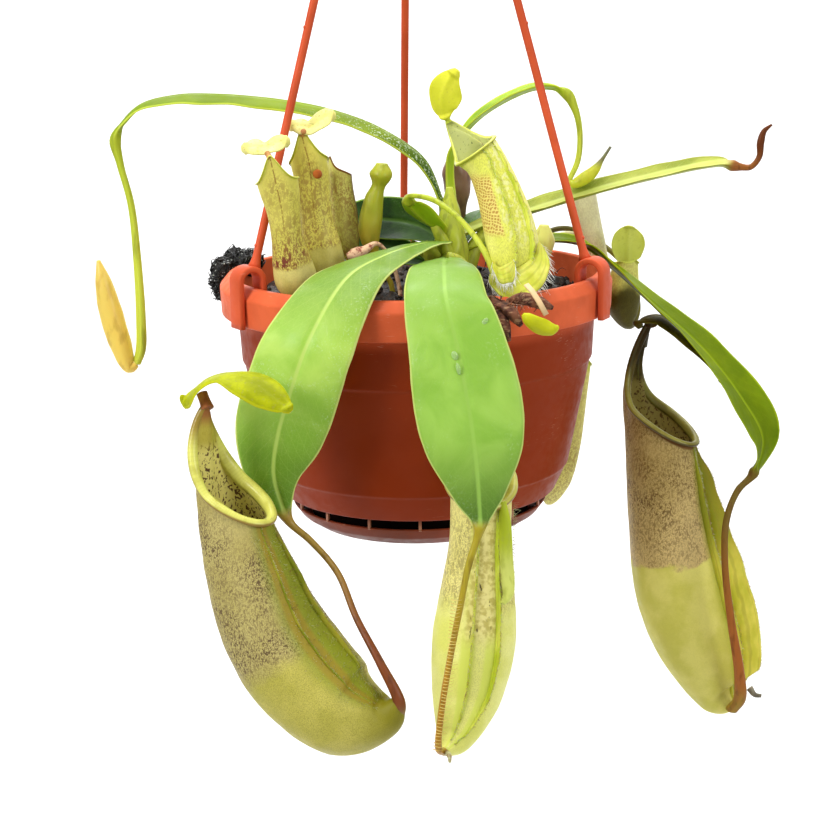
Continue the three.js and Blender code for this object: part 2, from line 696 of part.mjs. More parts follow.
// Leaves, each a blade that runs out into a tendril
const LEAVES = {
  leaf_front_left: {
    path: [[11, -3, 10.6, 2.2], [3, -24, 13.2, 4.6], [-10, -46, 12.6, 9.5], [-24, -64.6, 7, 13], [-36.4, -76, -12, 15.8],
      [-43.4, -74.6, -31, 16.2], [-47.4, -74, -44, 15.6], [-50, -73.5, -58, 10.4], [-47.8, -73, -69, 4.4], [-45, -73.2, -76, 1.6],
      [-38, -75.5, -82, 1.3], [-28.5, -84, -91, 1.3],
      [-22, -94, -104, 1.3], [-14, -103, -117, 1.3], tendrilEnd(LEFT_PITCHER, 1.4)],
    bears: LEFT_PITCHER,
    sides: [[0.9, -0.4, 0], [0.92, -0.36, 0], [1, -0.12, -0.05], [1, 0.1, 0], [1, 0.3, 0], [1, 0.5, 0]],
    fold: -0.1,
    wave: 0.05,
    look: LEAF,
  },
  leaf_front_centre: {
    path: [[13, -3, 5, 2.2], [11, -24, 7.6, 4.4], [10, -45, 9.6, 9.5], [9.6, -64, 9.6, 12.4], [10, -81, 2.4, 14.2],
      [13.5, -89, -13, 16.4], [16.5, -93.4, -30, 18], [18.6, -96.4, -46, 16], [19.7, -97.4, -62, 8.4], [19.7, -98, -72, 2],
      [16, -99.5, -84, 1.2], [12.6, -101, -100, 1.2], [9, -104, -117, 1.2], [6, -106.5, -134, 1.2], [5, -105, -147, 1.2],
      tendrilEnd(CENTRE_PITCHER, 1.3)],
    bears: CENTRE_PITCHER,
    sides: [[1, 0, 0], [1, 0, 0]],
    fold: -0.08,
    wave: 0.04,
    look: LEAF,
  },
  leaf_arch_left: {
    path: [[12, 3.4, 14, 2.2], [9.4, 4, 28, 3.6], [4, 3, 40, 6.2], [-8, -1, 50, 7.4], [-25, -4, 58, 8], [-44, -7.6, 63, 8.2],
      [-66, -12, 66, 8], [-85, -14, 66, 6.6], [-99.5, -15, 61.5, 4.4], [-106.4, -16, 51, 2.4], [-105.4, -16, 43, 1.5],
      [-102.6, -17, 28, 1.4], [-101.4, -17, 8, 1.5], [-101, -18, -13, 1.8], [-101.6, -18, -25, 1.9], tendrilEnd(LEFT_BUD, 1.6)],
    bears: LEFT_BUD,
    sides: [[0.2, 1, 0], [0.1, 1, 0.05], [0, 1, 0.1], [0, 1, 0], [0, 1, 0]],
    fold: 0.3,
    look: LEAF,
  },
  leaf_arch_right: {
    path: [[13.6, 6, 18, 2], [14, 14.6, 29, 3.2], [15, 17.6, 42, 4.6], [23, 17, 53, 5.2], [36, 16.6, 61.5, 5.4], [48, 15.6, 65.4, 4.6],
      [56.6, 14.4, 63.6, 2.6], [60.6, 14, 57, 1.4], [62.4, 14, 48, 1.1], [61.6, 13.6, 38, 1.1], tendrilEnd(RIGHT_BUD, 1)],
    bears: RIGHT_BUD,
    sides: [[0.6, 0.8, 0], [-0.2, 1, 0], [-0.2, 1, 0], [0, 1, 0]],
    fold: 0.3,
    look: LIME,
  },
  leaf_long_right: {
    path: [[13, 3, 11, 2.4], [24, 7, 14, 5], [38, 9, 18, 7.6], [55, 9, 23, 8.4], [72, 7.6, 28, 8.2], [90, 5.6, 32.4, 7.4],
      [107, 3, 36, 5.2], [119, 1, 36.6, 2.4], [125.4, 0, 37.6, 1.5], [128.8, 0, 42, 1.6], [130, 0, 48, 1.1], [132, 0, 52.4, 0.6]],
    sides: [[-0.3, 1, 0.1], [-0.1, 1, 0.3], [0, 1, 0.1]],
    fold: 0.38,
    look: LIME,
  },
  leaf_drooping_right: {
    path: [[13, 2, 5, 2.4], [30, 8, 8.6, 4.2], [48, 16, 8, 6], [64, 20, 5.4, 7], [76, 17, -3.6, 7.6], [90, 10, -16, 8.6],
      [108.4, 4, -32.6, 10.2], [123, -1, -51.4, 12], [131, -3, -67, 9], [127.6, -4.6, -80, 2.2], [121, -8, -86, 1.3],
      [116, -14, -96, 1.3], [115, -19, -112, 1.3], [117.4, -21, -133, 1.3], [121.4, -19, -155, 1.3], [123, -14, -170, 1.3],
      tendrilEnd(RIGHT_PITCHER, 1.4)],
    bears: RIGHT_PITCHER,
    sides: [[-0.3, 1, 0], [-0.3, 1, 0.1], [0.2, 0.9, 0.4], [0.7, 0.4, 0.5], [1, 0, 0], [1, 0, 0]],
    fold: 0.2,
    look: LEAF,
  },
  leaf_lime_edged: {
    path: [[11, -1, 14.5, 2], [5.5, -7, 18, 5], [1, -11.5, 22.5, 5.6], [-2, -15, 26.6, 3], [-1.6, -19, 29.4, 1.1],
      [5, -25, 29.4, 1.1], [11.6, -34, 26.6, 1.1], [18.6, -43.6, 20.8, 1.1], [24.4, -50.4, 12.6, 1.1], tendrilEnd(UPPER_PITCHER, 1.2)],
    bears: UPPER_PITCHER,
    sides: [[0.7, -0.7, 0.1], [0.8, -0.5, 0.2], [1, 0, 0], [1, 0, 0]],
    fold: 0.25,
    look: LEAF,
  },
  leaf_left_upper: {
    path: [[11, 3, 10, 2.2], [0, 6, 15, 6.4], [-12, 9, 17.4, 8.4], [-24, 10, 18, 7], [-34, 10, 15, 1.6]],
    sides: [[0.1, 1, 0.1], [0, 1, 0.1]],
    fold: -0.2,
    look: LEAF_DARK,
  },
  leaf_left_lower: {
    path: [[10, 1, 2, 2.2], [-2, 3.4, 5, 5], [-14, 6, 7, 6.4], [-26, 8, 6, 5.6], [-37, 9, 2, 1.4]],
    sides: [[0, 1, 0], [0, 1, 0]],
    fold: -0.15,
    look: LEAF_DARK,
  },
  leaf_back: {
    path: [[14, 5, 4, 2.2], [9, 15, 8.6, 5], [4, 26, 14.6, 7.6], [0, 36, 18.6, 6], [-3, 45, 19, 1.4]],
    sides: [[1, 0.3, 0], [1, 0.3, 0]],
    fold: -0.15,
    look: LEAF_DARK,
  },
};

const crownClear = solidOf(stalk({ ...CROWN, grow: GAP }));
for (const [name, leaf] of Object.entries(LEAVES)) {
  let cut = solidOf(blade(leaf)).subtract(crownClear);
  if (leaf.bears) cut = cut.subtract(solidOf(stalk({ path: leaf.bears.path.slice(0, 3), grow: GAP })));
  addNode(plant, name, geometryOf(cut), leaf.look);
}
addNode(plant, 'crown', stalk(CROWN), LIME);

// Dried scraps: a shrivelled leaf over the rim, a lime lid that hangs beside it and a pink lid on the left
const DRIED_LEAF = {
  path: [[24, -55, -17, 0.9], [24, -56, -6, 0.9], [27, -60, 1, 3.4], [32, -65, 4.6, 6], [36.5, -71, 3.4, 6], [38.6, -76.6, -2, 5],
    [38.4, -79, -9, 2]],
  sides: [[1, 0.4, 0.3], [0.8, 0.6, -0.2], [0.9, 0.4, 0.3]],
  wave: 0.35,
  waves: 2,
};
const LIME_SCRAP = {
  path: [[37.6, -81.8, -9.2, 1.1], [40.2, -80.4, -10, 4.4], [44, -76.4, -10, 4.8], [48.4, -72.4, -9, 1]],
  sides: [[0, 0.2, 1], [0, 0.2, 1]],
  fold: 0.2,
};
const PINK_SCRAP = {
  path: [[-6, -20, -17, 0.8], [-6, -20, -4, 0.8], [-11, -23, 6.4, 0.9], [-15, -26, 11, 1.1], [-19, -28, 11.6, 3.8],
    [-23, -29.6, 10.6, 4.2], [-27, -30.6, 9.4, 1]],
  sides: [[0.3, -0.4, 0.9], [0.3, -0.4, 0.9]],
  wave: 0.2,
};

addNode(plant, 'dried_leaf', blade(DRIED_LEAF), DRY);
const driedClear = solidOf(blade({ ...DRIED_LEAF, grow: 2 * GAP }));
addNode(plant, 'lime_scrap', geometryOf(solidOf(blade(LIME_SCRAP)).subtract(driedClear)), LIME);
addNode(plant, 'pink_scrap', blade(PINK_SCRAP), DRY);

// Soil: a lumpy bed that fills the pot, with a plain hole for each stem
const SOIL_HOLES = [
  RIM_FRONT_PITCHER, RIM_REAR_PITCHER, TORN_PITCHER, PALE_PITCHER, ROUND_LID_PITCHER, BEHIND_PITCHER,
  YOUNG_PITCHER, YELLOW_BUD, DARK_BUD, DRIED_LEAF, PINK_SCRAP,
];

function lump(x, y) {
  return 1.3 * Math.sin(0.21 * x + 1) * Math.cos(0.17 * y) + 0.8 * Math.sin(0.5 * x + 0.37 * y);
}

function soilSolid() {
  const bed = turned([
    [0, FLOOR_UNDER + 2 + GAP],
    [51, FLOOR_UNDER + 2 + GAP],
    [56.9 - WALL - 0.6, FLOOR_UNDER + 10.6],
    [64.8 - WALL - 0.4, -33],
    [66.6 - WALL - 0.5, -RIM_DROP],
    [63, SOIL_TOP - 2],
    [54, SOIL_TOP + 0.4],
    [40, SOIL_TOP + 1],
    [24, SOIL_TOP + 1.4],
    [0, SOIL_TOP + 1.6],
  ], 24);
  const spots = bed.attributes.position;
  for (let i = 0; i < spots.count; i += 1) {
    const [x, y, z] = [spots.getX(i), spots.getY(i), spots.getZ(i)];
    if (z > SOIL_TOP && Math.hypot(x, y) < 60) spots.setZ(i, z + lump(x, y));
  }
  const bores = SOIL_HOLES.map(({ path: [[x, y, z, radius]] }) => {
    const bore = new THREE.CylinderGeometry(radius + 1, radius + 1, 30, 7).rotateX(Math.PI / 2);
    return solidOf(bore.translate(x, y, z - GAP + 15));
  });
  const crownBore = new THREE.CylinderGeometry(7.2, 7.2, 40, 10).rotateX(Math.PI / 2).translate(14, 1, -22.4 + 20);
  return solidOf(bed).subtract(fuse([...bores, solidOf(crownBore)]));
}

addNode(plant, 'soil', geometryOf(soilSolid()), SOIL);

// Moss: a wet black clump that has grown over the rim beside the left clip
function mossLump(x, y, z, size, seed) {
  const ball = new THREE.IcosahedronGeometry(size, 1);
  const spots = ball.attributes.position;
  for (let i = 0; i < spots.count; i += 1) {
    const spot = new THREE.Vector3().fromBufferAttribute(spots, i);
    const bump = 1 + 0.16 * Math.sin(1.3 * spot.x + seed) * Math.sin(1.1 * spot.y) * Math.cos(1.2 * spot.z + seed);
    spot.multiplyScalar(bump);
    spots.setXYZ(i, spot.x + x, spot.y + y, spot.z + z);
  }
  return solidOf(ball);
}

const potEnvelope = solidOf(turned([
  [60, -40],
  [67.5, -RIM_DROP - GAP],
  [RIM_RADIUS + GAP, -RIM_DROP - GAP],
  [RIM_RADIUS + 0.2 + GAP, -3.7],
  [RIM_RADIUS - 2.9, GAP],
  [RIM_INNER - GAP, GAP],
  [RIM_INNER - GAP, -RIM_DROP],
  [60, -20],
  [60, -40],
]));
const soilEnvelope = solidOf(turned([[0, -40], [64, -40], [66, SOIL_TOP - 1], [54, SOIL_TOP + 3.2], [0, SOIL_TOP + 4]], 32));
const mossLumps = [
  mossLump(-66, 22, 1, 6.8, 1),
  mossLump(-74, 18, -1.5, 6.2, 2),
  mossLump(-76, 25, -7, 5, 3),
  mossLump(-62, 31, 0, 6, 4),
];
addNode(plant, 'moss_clump', geometryOf(fuse(mossLumps).subtract(potEnvelope).subtract(soilEnvelope)), SOIL);

export default group;
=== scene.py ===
import json
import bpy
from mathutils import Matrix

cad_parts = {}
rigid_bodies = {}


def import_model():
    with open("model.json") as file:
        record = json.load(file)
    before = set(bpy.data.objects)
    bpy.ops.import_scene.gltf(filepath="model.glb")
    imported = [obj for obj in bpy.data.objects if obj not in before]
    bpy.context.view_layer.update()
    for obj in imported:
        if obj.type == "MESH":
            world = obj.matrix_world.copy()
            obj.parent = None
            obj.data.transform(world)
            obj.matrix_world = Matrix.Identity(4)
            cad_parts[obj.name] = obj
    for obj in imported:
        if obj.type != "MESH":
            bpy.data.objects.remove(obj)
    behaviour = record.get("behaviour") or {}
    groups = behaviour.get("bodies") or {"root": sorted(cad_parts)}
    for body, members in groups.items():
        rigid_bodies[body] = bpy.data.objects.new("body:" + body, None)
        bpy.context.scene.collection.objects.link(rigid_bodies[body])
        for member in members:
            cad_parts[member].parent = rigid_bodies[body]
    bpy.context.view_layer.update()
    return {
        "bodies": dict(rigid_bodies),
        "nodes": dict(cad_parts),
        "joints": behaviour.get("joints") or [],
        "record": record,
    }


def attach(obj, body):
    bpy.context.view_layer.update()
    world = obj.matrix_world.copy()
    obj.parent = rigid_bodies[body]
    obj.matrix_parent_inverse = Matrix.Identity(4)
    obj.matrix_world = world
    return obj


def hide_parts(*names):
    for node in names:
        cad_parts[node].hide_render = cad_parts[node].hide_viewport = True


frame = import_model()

# Camera, floor and lights
# The plant hangs in front of a plain white sweep, in soft light from above and from the left.
# The camera stands 0.7 m away at the height of the leaves, and looks a little down.
import math
import bpy
import numpy as np
from mathutils import Matrix, Vector, noise
from types import SimpleNamespace

FOCAL_PIXELS = 1874
PHOTO_PIXELS = 840
SENSOR_MM = 36
CAMERA_PLACE = (-0.0006, -0.6947, -0.1588)
CAMERA_DOWN = 13.54
CAMERA_ROLL = -0.96

scene = bpy.context.scene
camera_data = bpy.data.cameras.new("photo_camera")
camera_data.sensor_width = SENSOR_MM
camera_data.lens = FOCAL_PIXELS / PHOTO_PIXELS * SENSOR_MM
camera = bpy.data.objects.new("photo_camera", camera_data)
tilt = Matrix.Rotation(math.radians(90 - CAMERA_DOWN), 4, "X")
camera.matrix_world = Matrix.Translation(CAMERA_PLACE) @ (
    tilt @ Matrix.Rotation(math.radians(CAMERA_ROLL), 4, "Z"))
scene.collection.objects.link(camera)
scene.camera = camera
scene.view_settings.view_transform = "Standard"

SWEEP_FLOOR = -1.3
SWEEP_FRONT = -2.6
SWEEP_BACK = 2.2
SWEEP_TOP = 2.4
SWEEP_HALF = 4
SWEEP_BEND = 1
BEND_STEPS = 8
WORLD_LIGHT = 0.42


def paint(red, green, blue):
    """A screen colour, 0 to 255, as the linear colour that a shader takes."""
    def linear(value):
        share = value / 255
        return share / 12.92 if share <= 0.04045 else ((share + 0.055) / 1.055) ** 2.4
    return (linear(red), linear(green), linear(blue), 1.0)


def shader(name, colour, roughness, gloss=0.3, **sockets):
    """A new material with plain values on its main shader's own sockets."""
    material = bpy.data.materials.new(name)
    material.use_nodes = True
    inputs = material.node_tree.nodes["Principled BSDF"].inputs
    inputs["Base Color"].default_value = paint(*colour)
    inputs["Roughness"].default_value = roughness
    inputs["Specular IOR Level"].default_value = gloss
    for socket, value in sockets.items():
        inputs[socket.replace("_", " ")].default_value = value
    return material


bend_start = SWEEP_BACK - SWEEP_BEND
sweep_profile = [(SWEEP_FRONT, SWEEP_FLOOR), (bend_start, SWEEP_FLOOR)]
for step in range(1, BEND_STEPS + 1):
    bend = math.radians(90 * step / BEND_STEPS)
    sweep_profile.append((bend_start + SWEEP_BEND * math.sin(bend),
                          SWEEP_FLOOR + SWEEP_BEND - SWEEP_BEND * math.cos(bend)))
sweep_profile.append((SWEEP_BACK, SWEEP_TOP))
sweep_points = [(side, y, z) for y, z in sweep_profile for side in (-SWEEP_HALF, SWEEP_HALF)]
sweep_faces = [(2 * k, 2 * k + 1, 2 * k + 3, 2 * k + 2) for k in range(len(sweep_profile) - 1)]
sweep_mesh = bpy.data.meshes.new("studio_sweep")
sweep_mesh.from_pydata(sweep_points, [], sweep_faces)
sweep_mesh.shade_smooth()
sweep_mesh.materials.append(shader("studio_white", (250, 250, 250), 0.9, 0.1))
sweep = bpy.data.objects.new("studio_sweep", sweep_mesh)
scene.collection.objects.link(sweep)

world = bpy.data.worlds.new("studio_world")
world.use_nodes = True
world.node_tree.nodes["Background"].inputs["Color"].default_value = (1, 1, 1, 1)
world.node_tree.nodes["Background"].inputs["Strength"].default_value = WORLD_LIGHT
scene.world = world

for name, place, target, size, power in (("light_above", (-0.2, -0.3, 0.7), (0, 0, -0.28), 0.6, 4.9),
                                         ("light_left", (-0.95, -0.75, 0.25), (0, 0, -0.3), 0.5, 9.6),
                                         ("light_right", (0.9, -0.8, 0.1), (0, 0, -0.35), 0.6, 5.4),
                                         ("light_sweep", (0, 0.7, 0.9), (0, 2.2, -0.9), 1.6, 45.0)):
    lamp = bpy.data.lights.new(name, "AREA")
    lamp.size = size
    lamp.energy = power
    softbox = bpy.data.objects.new(name, lamp)
    softbox.location = place
    softbox.rotation_euler = (Vector(target) - Vector(place)).to_track_quat("-Z", "Y").to_euler()
    scene.collection.objects.link(softbox)

# Pot
# A moulded polypropylene hanging pot, turned in shape, with a bevelled rim band, a step and a groove.
# The rim catches more light: it is painted paler than the body, as painted light on the rim and painted
# shade on the body below it. The plastic has fine scuffs and dust.
HANG_HEIGHT = 268
HUB_SHIFT = 1.2
RIM_RADIUS = 73
RIM_DROP = 14
RIM_INNER = 67.5
POT_FOOT = -83
WALL = 1.6
SKIRT_RADIUS = 38
SKIRT_FOOT = POT_FOOT - 9.6
VOLUME_FACES = 4000


def built(points, faces, corners, facts):
    """A mesh with the UV of its faces' corners, and with facts, which are named numbers for each point."""
    mesh = bpy.data.meshes.new("shape")
    mesh.from_pydata(points, [], faces)
    mesh.uv_layers.new(name="skin").data.foreach_set("uv", np.asarray(corners, np.float32).ravel())
    for fact, values in facts.items():
        values = np.asarray(values, np.float32)
        mesh.attributes.new(fact, "FLOAT", "POINT").data.foreach_set("value", values)
    return mesh


def joined(shapes):
    """Several meshes as one."""
    facts = {fact.name: [] for mesh in shapes for fact in mesh.attributes if fact.data_type == "FLOAT"}
    points, faces, corners = [], [], []
    for mesh in shapes:
        faces += [tuple(index + len(points) for index in face.vertices) for face in mesh.polygons]
        points += [tuple(vertex.co) for vertex in mesh.vertices]
        corners += [tuple(corner.uv) for corner in mesh.uv_layers[0].data]
        for fact, values in facts.items():
            held = mesh.attributes.get(fact)
            values += [value.value for value in held.data] if held else [0.0] * len(mesh.vertices)
        bpy.data.meshes.remove(mesh)
    return built(points, faces, corners, facts)


def finished(name, shape, material, slot, *stands_for):
    """Puts a shape, or a list of shapes as one, into the scene as a piece of the plant."""
    mesh = joined(shape) if isinstance(shape, list) else shape
    mesh.name = name
    mesh.shade_smooth()
    mesh.materials.append(material)
    piece = bpy.data.objects.new(name, mesh)
    scene.collection.objects.link(piece)
    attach(piece, "root")
    if stands_for:
        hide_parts(*stands_for)


def skin(rings, along=None, around=None, wrapped=False, facts=None):
    """A mesh that points outward, through a row of equal closed rings in mm from the rim's middle.
    Its ends are closed, unless it is wrapped into a loop. Its UV runs along and around the rings."""
    rings = np.asarray(rings, float)
    rows, count, _ = rings.shape
    along = np.linspace(0, 1, rows + wrapped) if along is None else along
    around = np.linspace(0, 1, count + 1) if around is None else around
    points = rings.reshape(-1, 3)
    facts = {fact: np.asarray(values, np.float32).ravel() for fact, values in (facts or {}).items()}
    faces, corners = [], []
    for i in range(rows if wrapped else rows - 1):
        low, high = i * count, (i + 1) % rows * count
        for k in range(count):
            after = (k + 1) % count
            faces.append((low + k, low + after, high + after, high + k))
            corners += [(along[i], around[k]), (along[i], around[k + 1]),
                        (along[i + 1], around[k + 1]), (along[i + 1], around[k])]
    if not wrapped:
        tip, last = len(points), (rows - 1) * count
        points = np.concatenate([points, [rings[0].mean(0), rings[-1].mean(0)]])
        for k in range(count):
            after = (k + 1) % count
            faces += [(tip, after, k), (tip + 1, last + k, last + after)]
            corners += [(along[0], around[k]), (along[0], around[k + 1]), (along[0], around[k]),
                        (along[-1], around[k]), (along[-1], around[k]), (along[-1], around[k + 1])]
        for fact, values in facts.items():
            facts[fact] = np.concatenate([values, [values[:count].mean(), values[-count:].mean()]])
    volume = 0.0
    for face in faces[::max(1, len(faces) // VOLUME_FACES)]:
        a, b, c = (points[index] - points[0] for index in face[:3])
        volume += float(np.dot(a, np.cross(b, c)))
    metres = (points + (-HUB_SHIFT, 0, -HANG_HEIGHT)) / 1000
    mesh = built(metres.tolist(), faces, corners, facts)
    if volume < 0:
        mesh.flip_normals()
    return mesh


def softened(profile, radius):
    """The same outline with each inner corner rounded off."""
    profile = [np.array(point, float) for point in profile]
    out = [profile[0]]
    for before, corner, after in zip(profile, profile[1:], profile[2:]):
        back, on = before - corner, after - corner
        start = corner + back / np.linalg.norm(back) * min(radius, 0.45 * np.linalg.norm(back))
        end = corner + on / np.linalg.norm(on) * min(radius, 0.45 * np.linalg.norm(on))
        out += [(1 - t) ** 2 * start + 2 * t * (1 - t) * corner + t * t * end for t in (0, 0.33, 0.67, 1)]
    return [*out, profile[-1]]


def turns(count):
    """Angles in equal steps round one turn."""
    return np.linspace(0, 2 * math.pi, count, endpoint=False)


def circle(radius, count):
    """Points in equal steps round a circle."""
    return [(radius * math.cos(angle), radius * math.sin(angle)) for angle in turns(count)]


def turned(profile, segments=128):
    """An outline of radius and height, from axis to axis, turned round the upright axis."""
    return skin([[(x, y, z) for x, y in circle(max(radius, 0.01), segments)] for radius, z in profile])


def node(tree, kind, settings, *values, **named):
    """A new shader node. Values go to its sockets by place, and named ones by the socket's name."""
    made = tree.nodes.new("ShaderNode" + kind)
    for setting, value in settings.items():
        setattr(made, setting, value)
    for socket, value in [*enumerate(values), *named.items()]:
        if isinstance(value, bpy.types.NodeSocket):
            tree.links.new(value, made.inputs[socket])
        elif value is not None:
            made.inputs[socket].default_value = value
    return made


def reckoned(operation, first, second=None):
    """One step of arithmetic. At least one of the values comes from a node."""
    tree = (first if isinstance(first, bpy.types.NodeSocket) else second).id_data
    return node(tree, "Math", {"operation": operation}, first, second).outputs[0]


def times(first, second):
    return reckoned("MULTIPLY", first, second)


def plus(first, second):
    return reckoned("ADD", first, second)


def span(value, low, high, out_low=0.0, out_high=1.0):
    """value eased from out_low at low to out_high at high."""
    return node(value.id_data, "MapRange", {"interpolation_type": "SMOOTHSTEP"},
                value, low, high, out_low, out_high).outputs[0]


def blended(share, base, colour):
    """A base with a colour laid over it by a share. Each is a screen colour or comes from a node."""
    made = node(share.id_data, "Mix", {"data_type": "RGBA"}, share)
    for socket, value in zip(made.inputs[6:8], (base, colour)):
        if isinstance(value, bpy.types.NodeSocket):
            share.id_data.links.new(value, socket)
        else:
            socket.default_value = paint(*value)
    return made.outputs[2]


def over(base, colour, value, low, high, most=1.0):
    """A base with a colour laid over it as value goes from low to high, up to a share of most."""
    return blended(span(value, low, high, 0, most), base, colour)


def spot(tree, stretch=(1, 1, 1)):
    """The place on the object in mm, stretched by a factor along each axis."""
    place = node(tree, "TexCoord", {}).outputs["Object"]
    scale = tuple(1000 * factor for factor in stretch)
    return node(tree, "VectorMath", {"operation": "MULTIPLY"}, place, scale).outputs[0]


def grain(tree, scale, detail=3.0, stretch=(1, 1, 1), twist=0.0):
    """Cloudy noise of 0 to 1. scale is features per mm."""
    return node(tree, "TexNoise", {}, Vector=spot(tree, stretch), Scale=scale, Detail=detail,
                Distortion=twist).outputs["Fac"]


def height_of(tree):
    """Height in mm above the rim's top."""
    return plus(node(tree, "SeparateXYZ", {}, spot(tree)).outputs["Z"], float(HANG_HEIGHT))


def coat(material, socket, value):
    """Links a value or colour that changes over the surface to a socket of the main shader."""
    tree = material.node_tree
    tree.links.new(value, tree.nodes["Principled BSDF"].inputs[socket])


def bumped(material, height, strength, depth_mm):
    """Small relief. height is a value of 0 to 1 from a node."""
    made = node(material.node_tree, "Bump", {}, Strength=strength, Distance=depth_mm / 1000, Height=height)
    coat(material, "Normal", made.outputs[0])


def plastic(name, pale, deep, change_low, change_high, roughness):
    """Moulded plastic that turns from deep to pale with height, with scuffs, dust and a faint texture."""
    material = shader(name, pale, roughness, 0.1)
    tree = material.node_tree
    # On the pot, this change from deep to pale with height is painted shade on the body and painted light on
    # the rim.
    base = over(deep, pale, height_of(tree), change_low, change_high)
    base = over(base, (150, 58, 26), grain(tree, 0.05, 4), 0.4, 0.7, 0.35)
    scuff = grain(tree, 0.9, 5, (0.35, 0.35, 3.0))
    worn = times(span(scuff, 0.62, 0.72), span(grain(tree, 0.045, 2), 0.52, 0.66))
    coat(material, "Base Color", blended(times(worn, 0.3), base, (226, 170, 140)))
    coat(material, "Roughness", span(grain(tree, 0.3, 4), 0.3, 0.75, roughness - 0.06, roughness + 0.12))
    bumped(material, grain(tree, 1.6, 3), 0.12, 0.15)
    return material


def pot_wall(inset):
    """The side of the pot from its foot to the rim band, moved inward by inset."""
    side = [(51.9, POT_FOOT), (56.2, POT_FOOT + 9.4), (56.9, POT_FOOT + 10.2), (65, -33), (65.8, -32),
            (66.8, -RIM_DROP)]
    return [(radius - inset, z) for radius, z in side]


# Deep is the pot body's painted shade and pale is the rim's painted light.
pot_plastic = plastic("pot_plastic", (226, 104, 62), (140, 48, 8), -20, -12, 0.45)
pot_profile = [(0, POT_FOOT), (SKIRT_RADIUS - WALL, POT_FOOT), (SKIRT_RADIUS - WALL, SKIRT_FOOT),
               (SKIRT_RADIUS, SKIRT_FOOT), (SKIRT_RADIUS, POT_FOOT), *pot_wall(0),
               (RIM_RADIUS - 0.3, -RIM_DROP), (RIM_RADIUS + 0.2, -3.8), (RIM_RADIUS - 3, 0), (RIM_INNER, 0),
               (RIM_INNER, -RIM_DROP + 1.5), *pot_wall(WALL)[:0:-1], (52, POT_FOOT + 2), (0, POT_FOOT + 2)]
finished("pot_body", turned(softened(pot_profile, 0.7), 160), pot_plastic, "clay_plastic", "pot")

# Saucer
# A shallow dish of darker plastic, pushed onto the ring under the pot.
# Short pins on its lip hold it a few millimetres below the pot's floor, so a gap shows, darkened by a
# near-black disc of painted shade inside it.
SAUCER_LIP = 48.6
SAUCER_UNDER = POT_FOOT - 12
SAUCER_TOP = POT_FOOT - 4.2
PIN_COUNT = 16

saucer_plastic = plastic("saucer_plastic", (120, 56, 34), (96, 44, 28), SAUCER_UNDER, SAUCER_TOP, 0.42)
saucer_profile = [(0, SAUCER_UNDER), (39.9, SAUCER_UNDER), (45.5, SAUCER_UNDER + 3.6),
                  (SAUCER_LIP, SAUCER_TOP), (SAUCER_LIP - WALL, SAUCER_TOP), (43.9, SAUCER_UNDER + 4.6),
                  (SKIRT_RADIUS + 0.4, SAUCER_UNDER + 2), (0, SAUCER_UNDER + 2)]
finished("saucer_dish", turned(softened(saucer_profile, 0.6)), saucer_plastic, "dark_plastic", "saucer")
# A near-black disc under the pot's floor is painted shade in the gap above the saucer.
gap_shade_profile = [(0, POT_FOOT - 0.25), (41.5, POT_FOOT - 0.25), (41.5, SAUCER_UNDER + 3.2),
                (0, SAUCER_UNDER + 3.2)]
finished("saucer_gap_shade", turned(gap_shade_profile), shader("saucer_gap_shade", (20, 8, 5), 0.7, 0.05), "dark_plastic")


def round_bar(half_wide, half_high, corner=0.6):
    """A rounded rectangle's outline, for straps, pins and the hook."""
    outline = []
    for sign_x, sign_y, start in ((1, 1, 0), (-1, 1, 90), (-1, -1, 180), (1, -1, 270)):
        for turn in (0, 30, 60, 90):
            angle = math.radians(start + turn)
            outline.append((sign_x * (half_wide - corner) + corner * math.cos(angle),
                            sign_y * (half_high - corner) + corner * math.sin(angle)))
    return outline


def facing(angle):
    """The directions outward and sideways at an angle round the pot."""
    return np.array([math.cos(angle), math.sin(angle), 0]), np.array([-math.sin(angle), math.cos(angle), 0])


pins = []
pin_outline = round_bar(0.55, 0.55, 0.2)
for k in range(PIN_COUNT):
    out, side = facing(2 * math.pi * k / PIN_COUNT)
    pins.append(skin([[out * (SAUCER_LIP - 0.8 + a) + side * b + (0, 0, z) for a, b in pin_outline]
                      for z in (SAUCER_TOP - 0.6, POT_FOOT - 0.3)]))
finished("saucer_pins", pins, shader("pin_plastic", (176, 120, 96), 0.4), "dark_plastic")

# Hanger
# Three round arms of the pot's plastic, moulded in one with the upside-down U clips that grip the rim.
# Their upper ends sit in a hub that carries a flat crook; small gate marks from the mould stay on the bars.
ARM_ANGLES = {"left": -148, "right": -26, "back": 94}
ARM_RADIUS = 1.5
ARM_END = 231
ARM_STEPS = 120
APEX_HEIGHT = 238
CLIP_OUTER = RIM_RADIUS + 0.6
CLIP_INNER = RIM_INNER - 0.8
CLIP_THICK = 2.2
CLIP_MIDDLE = (CLIP_OUTER + CLIP_INNER) / 2
CLIP_REACH = (CLIP_OUTER - CLIP_INNER + CLIP_THICK) / 2
ARM_FOOT = (CLIP_MIDDLE - 2.6, 7)
GATE_MARKS = (0.035, 0.37, 0.7)
UP = np.array([0, 0, 1.0])

hanger_plastic = plastic("hanger_plastic", (200, 82, 46), (216, 92, 56), -14, 120, 0.38)


def swept(path, outline, across_hint, sizes=None):
    """An outline carried along a path of points. across_hint sets which way the outline's width faces."""
    path = np.asarray(path, float)
    ahead = np.gradient(path, axis=0)
    ahead /= np.linalg.norm(ahead, axis=1)[:, None]
    rings = []
    for point, forward, size in zip(path, ahead, np.ones(len(path)) if sizes is None else sizes):
        side = np.asarray(across_hint, float)
        side = side - forward * np.dot(side, forward)
        side /= np.linalg.norm(side)
        up = np.cross(forward, side)
        rings.append([point + side * a * size + up * b * size for a, b in outline])
    return skin(rings)


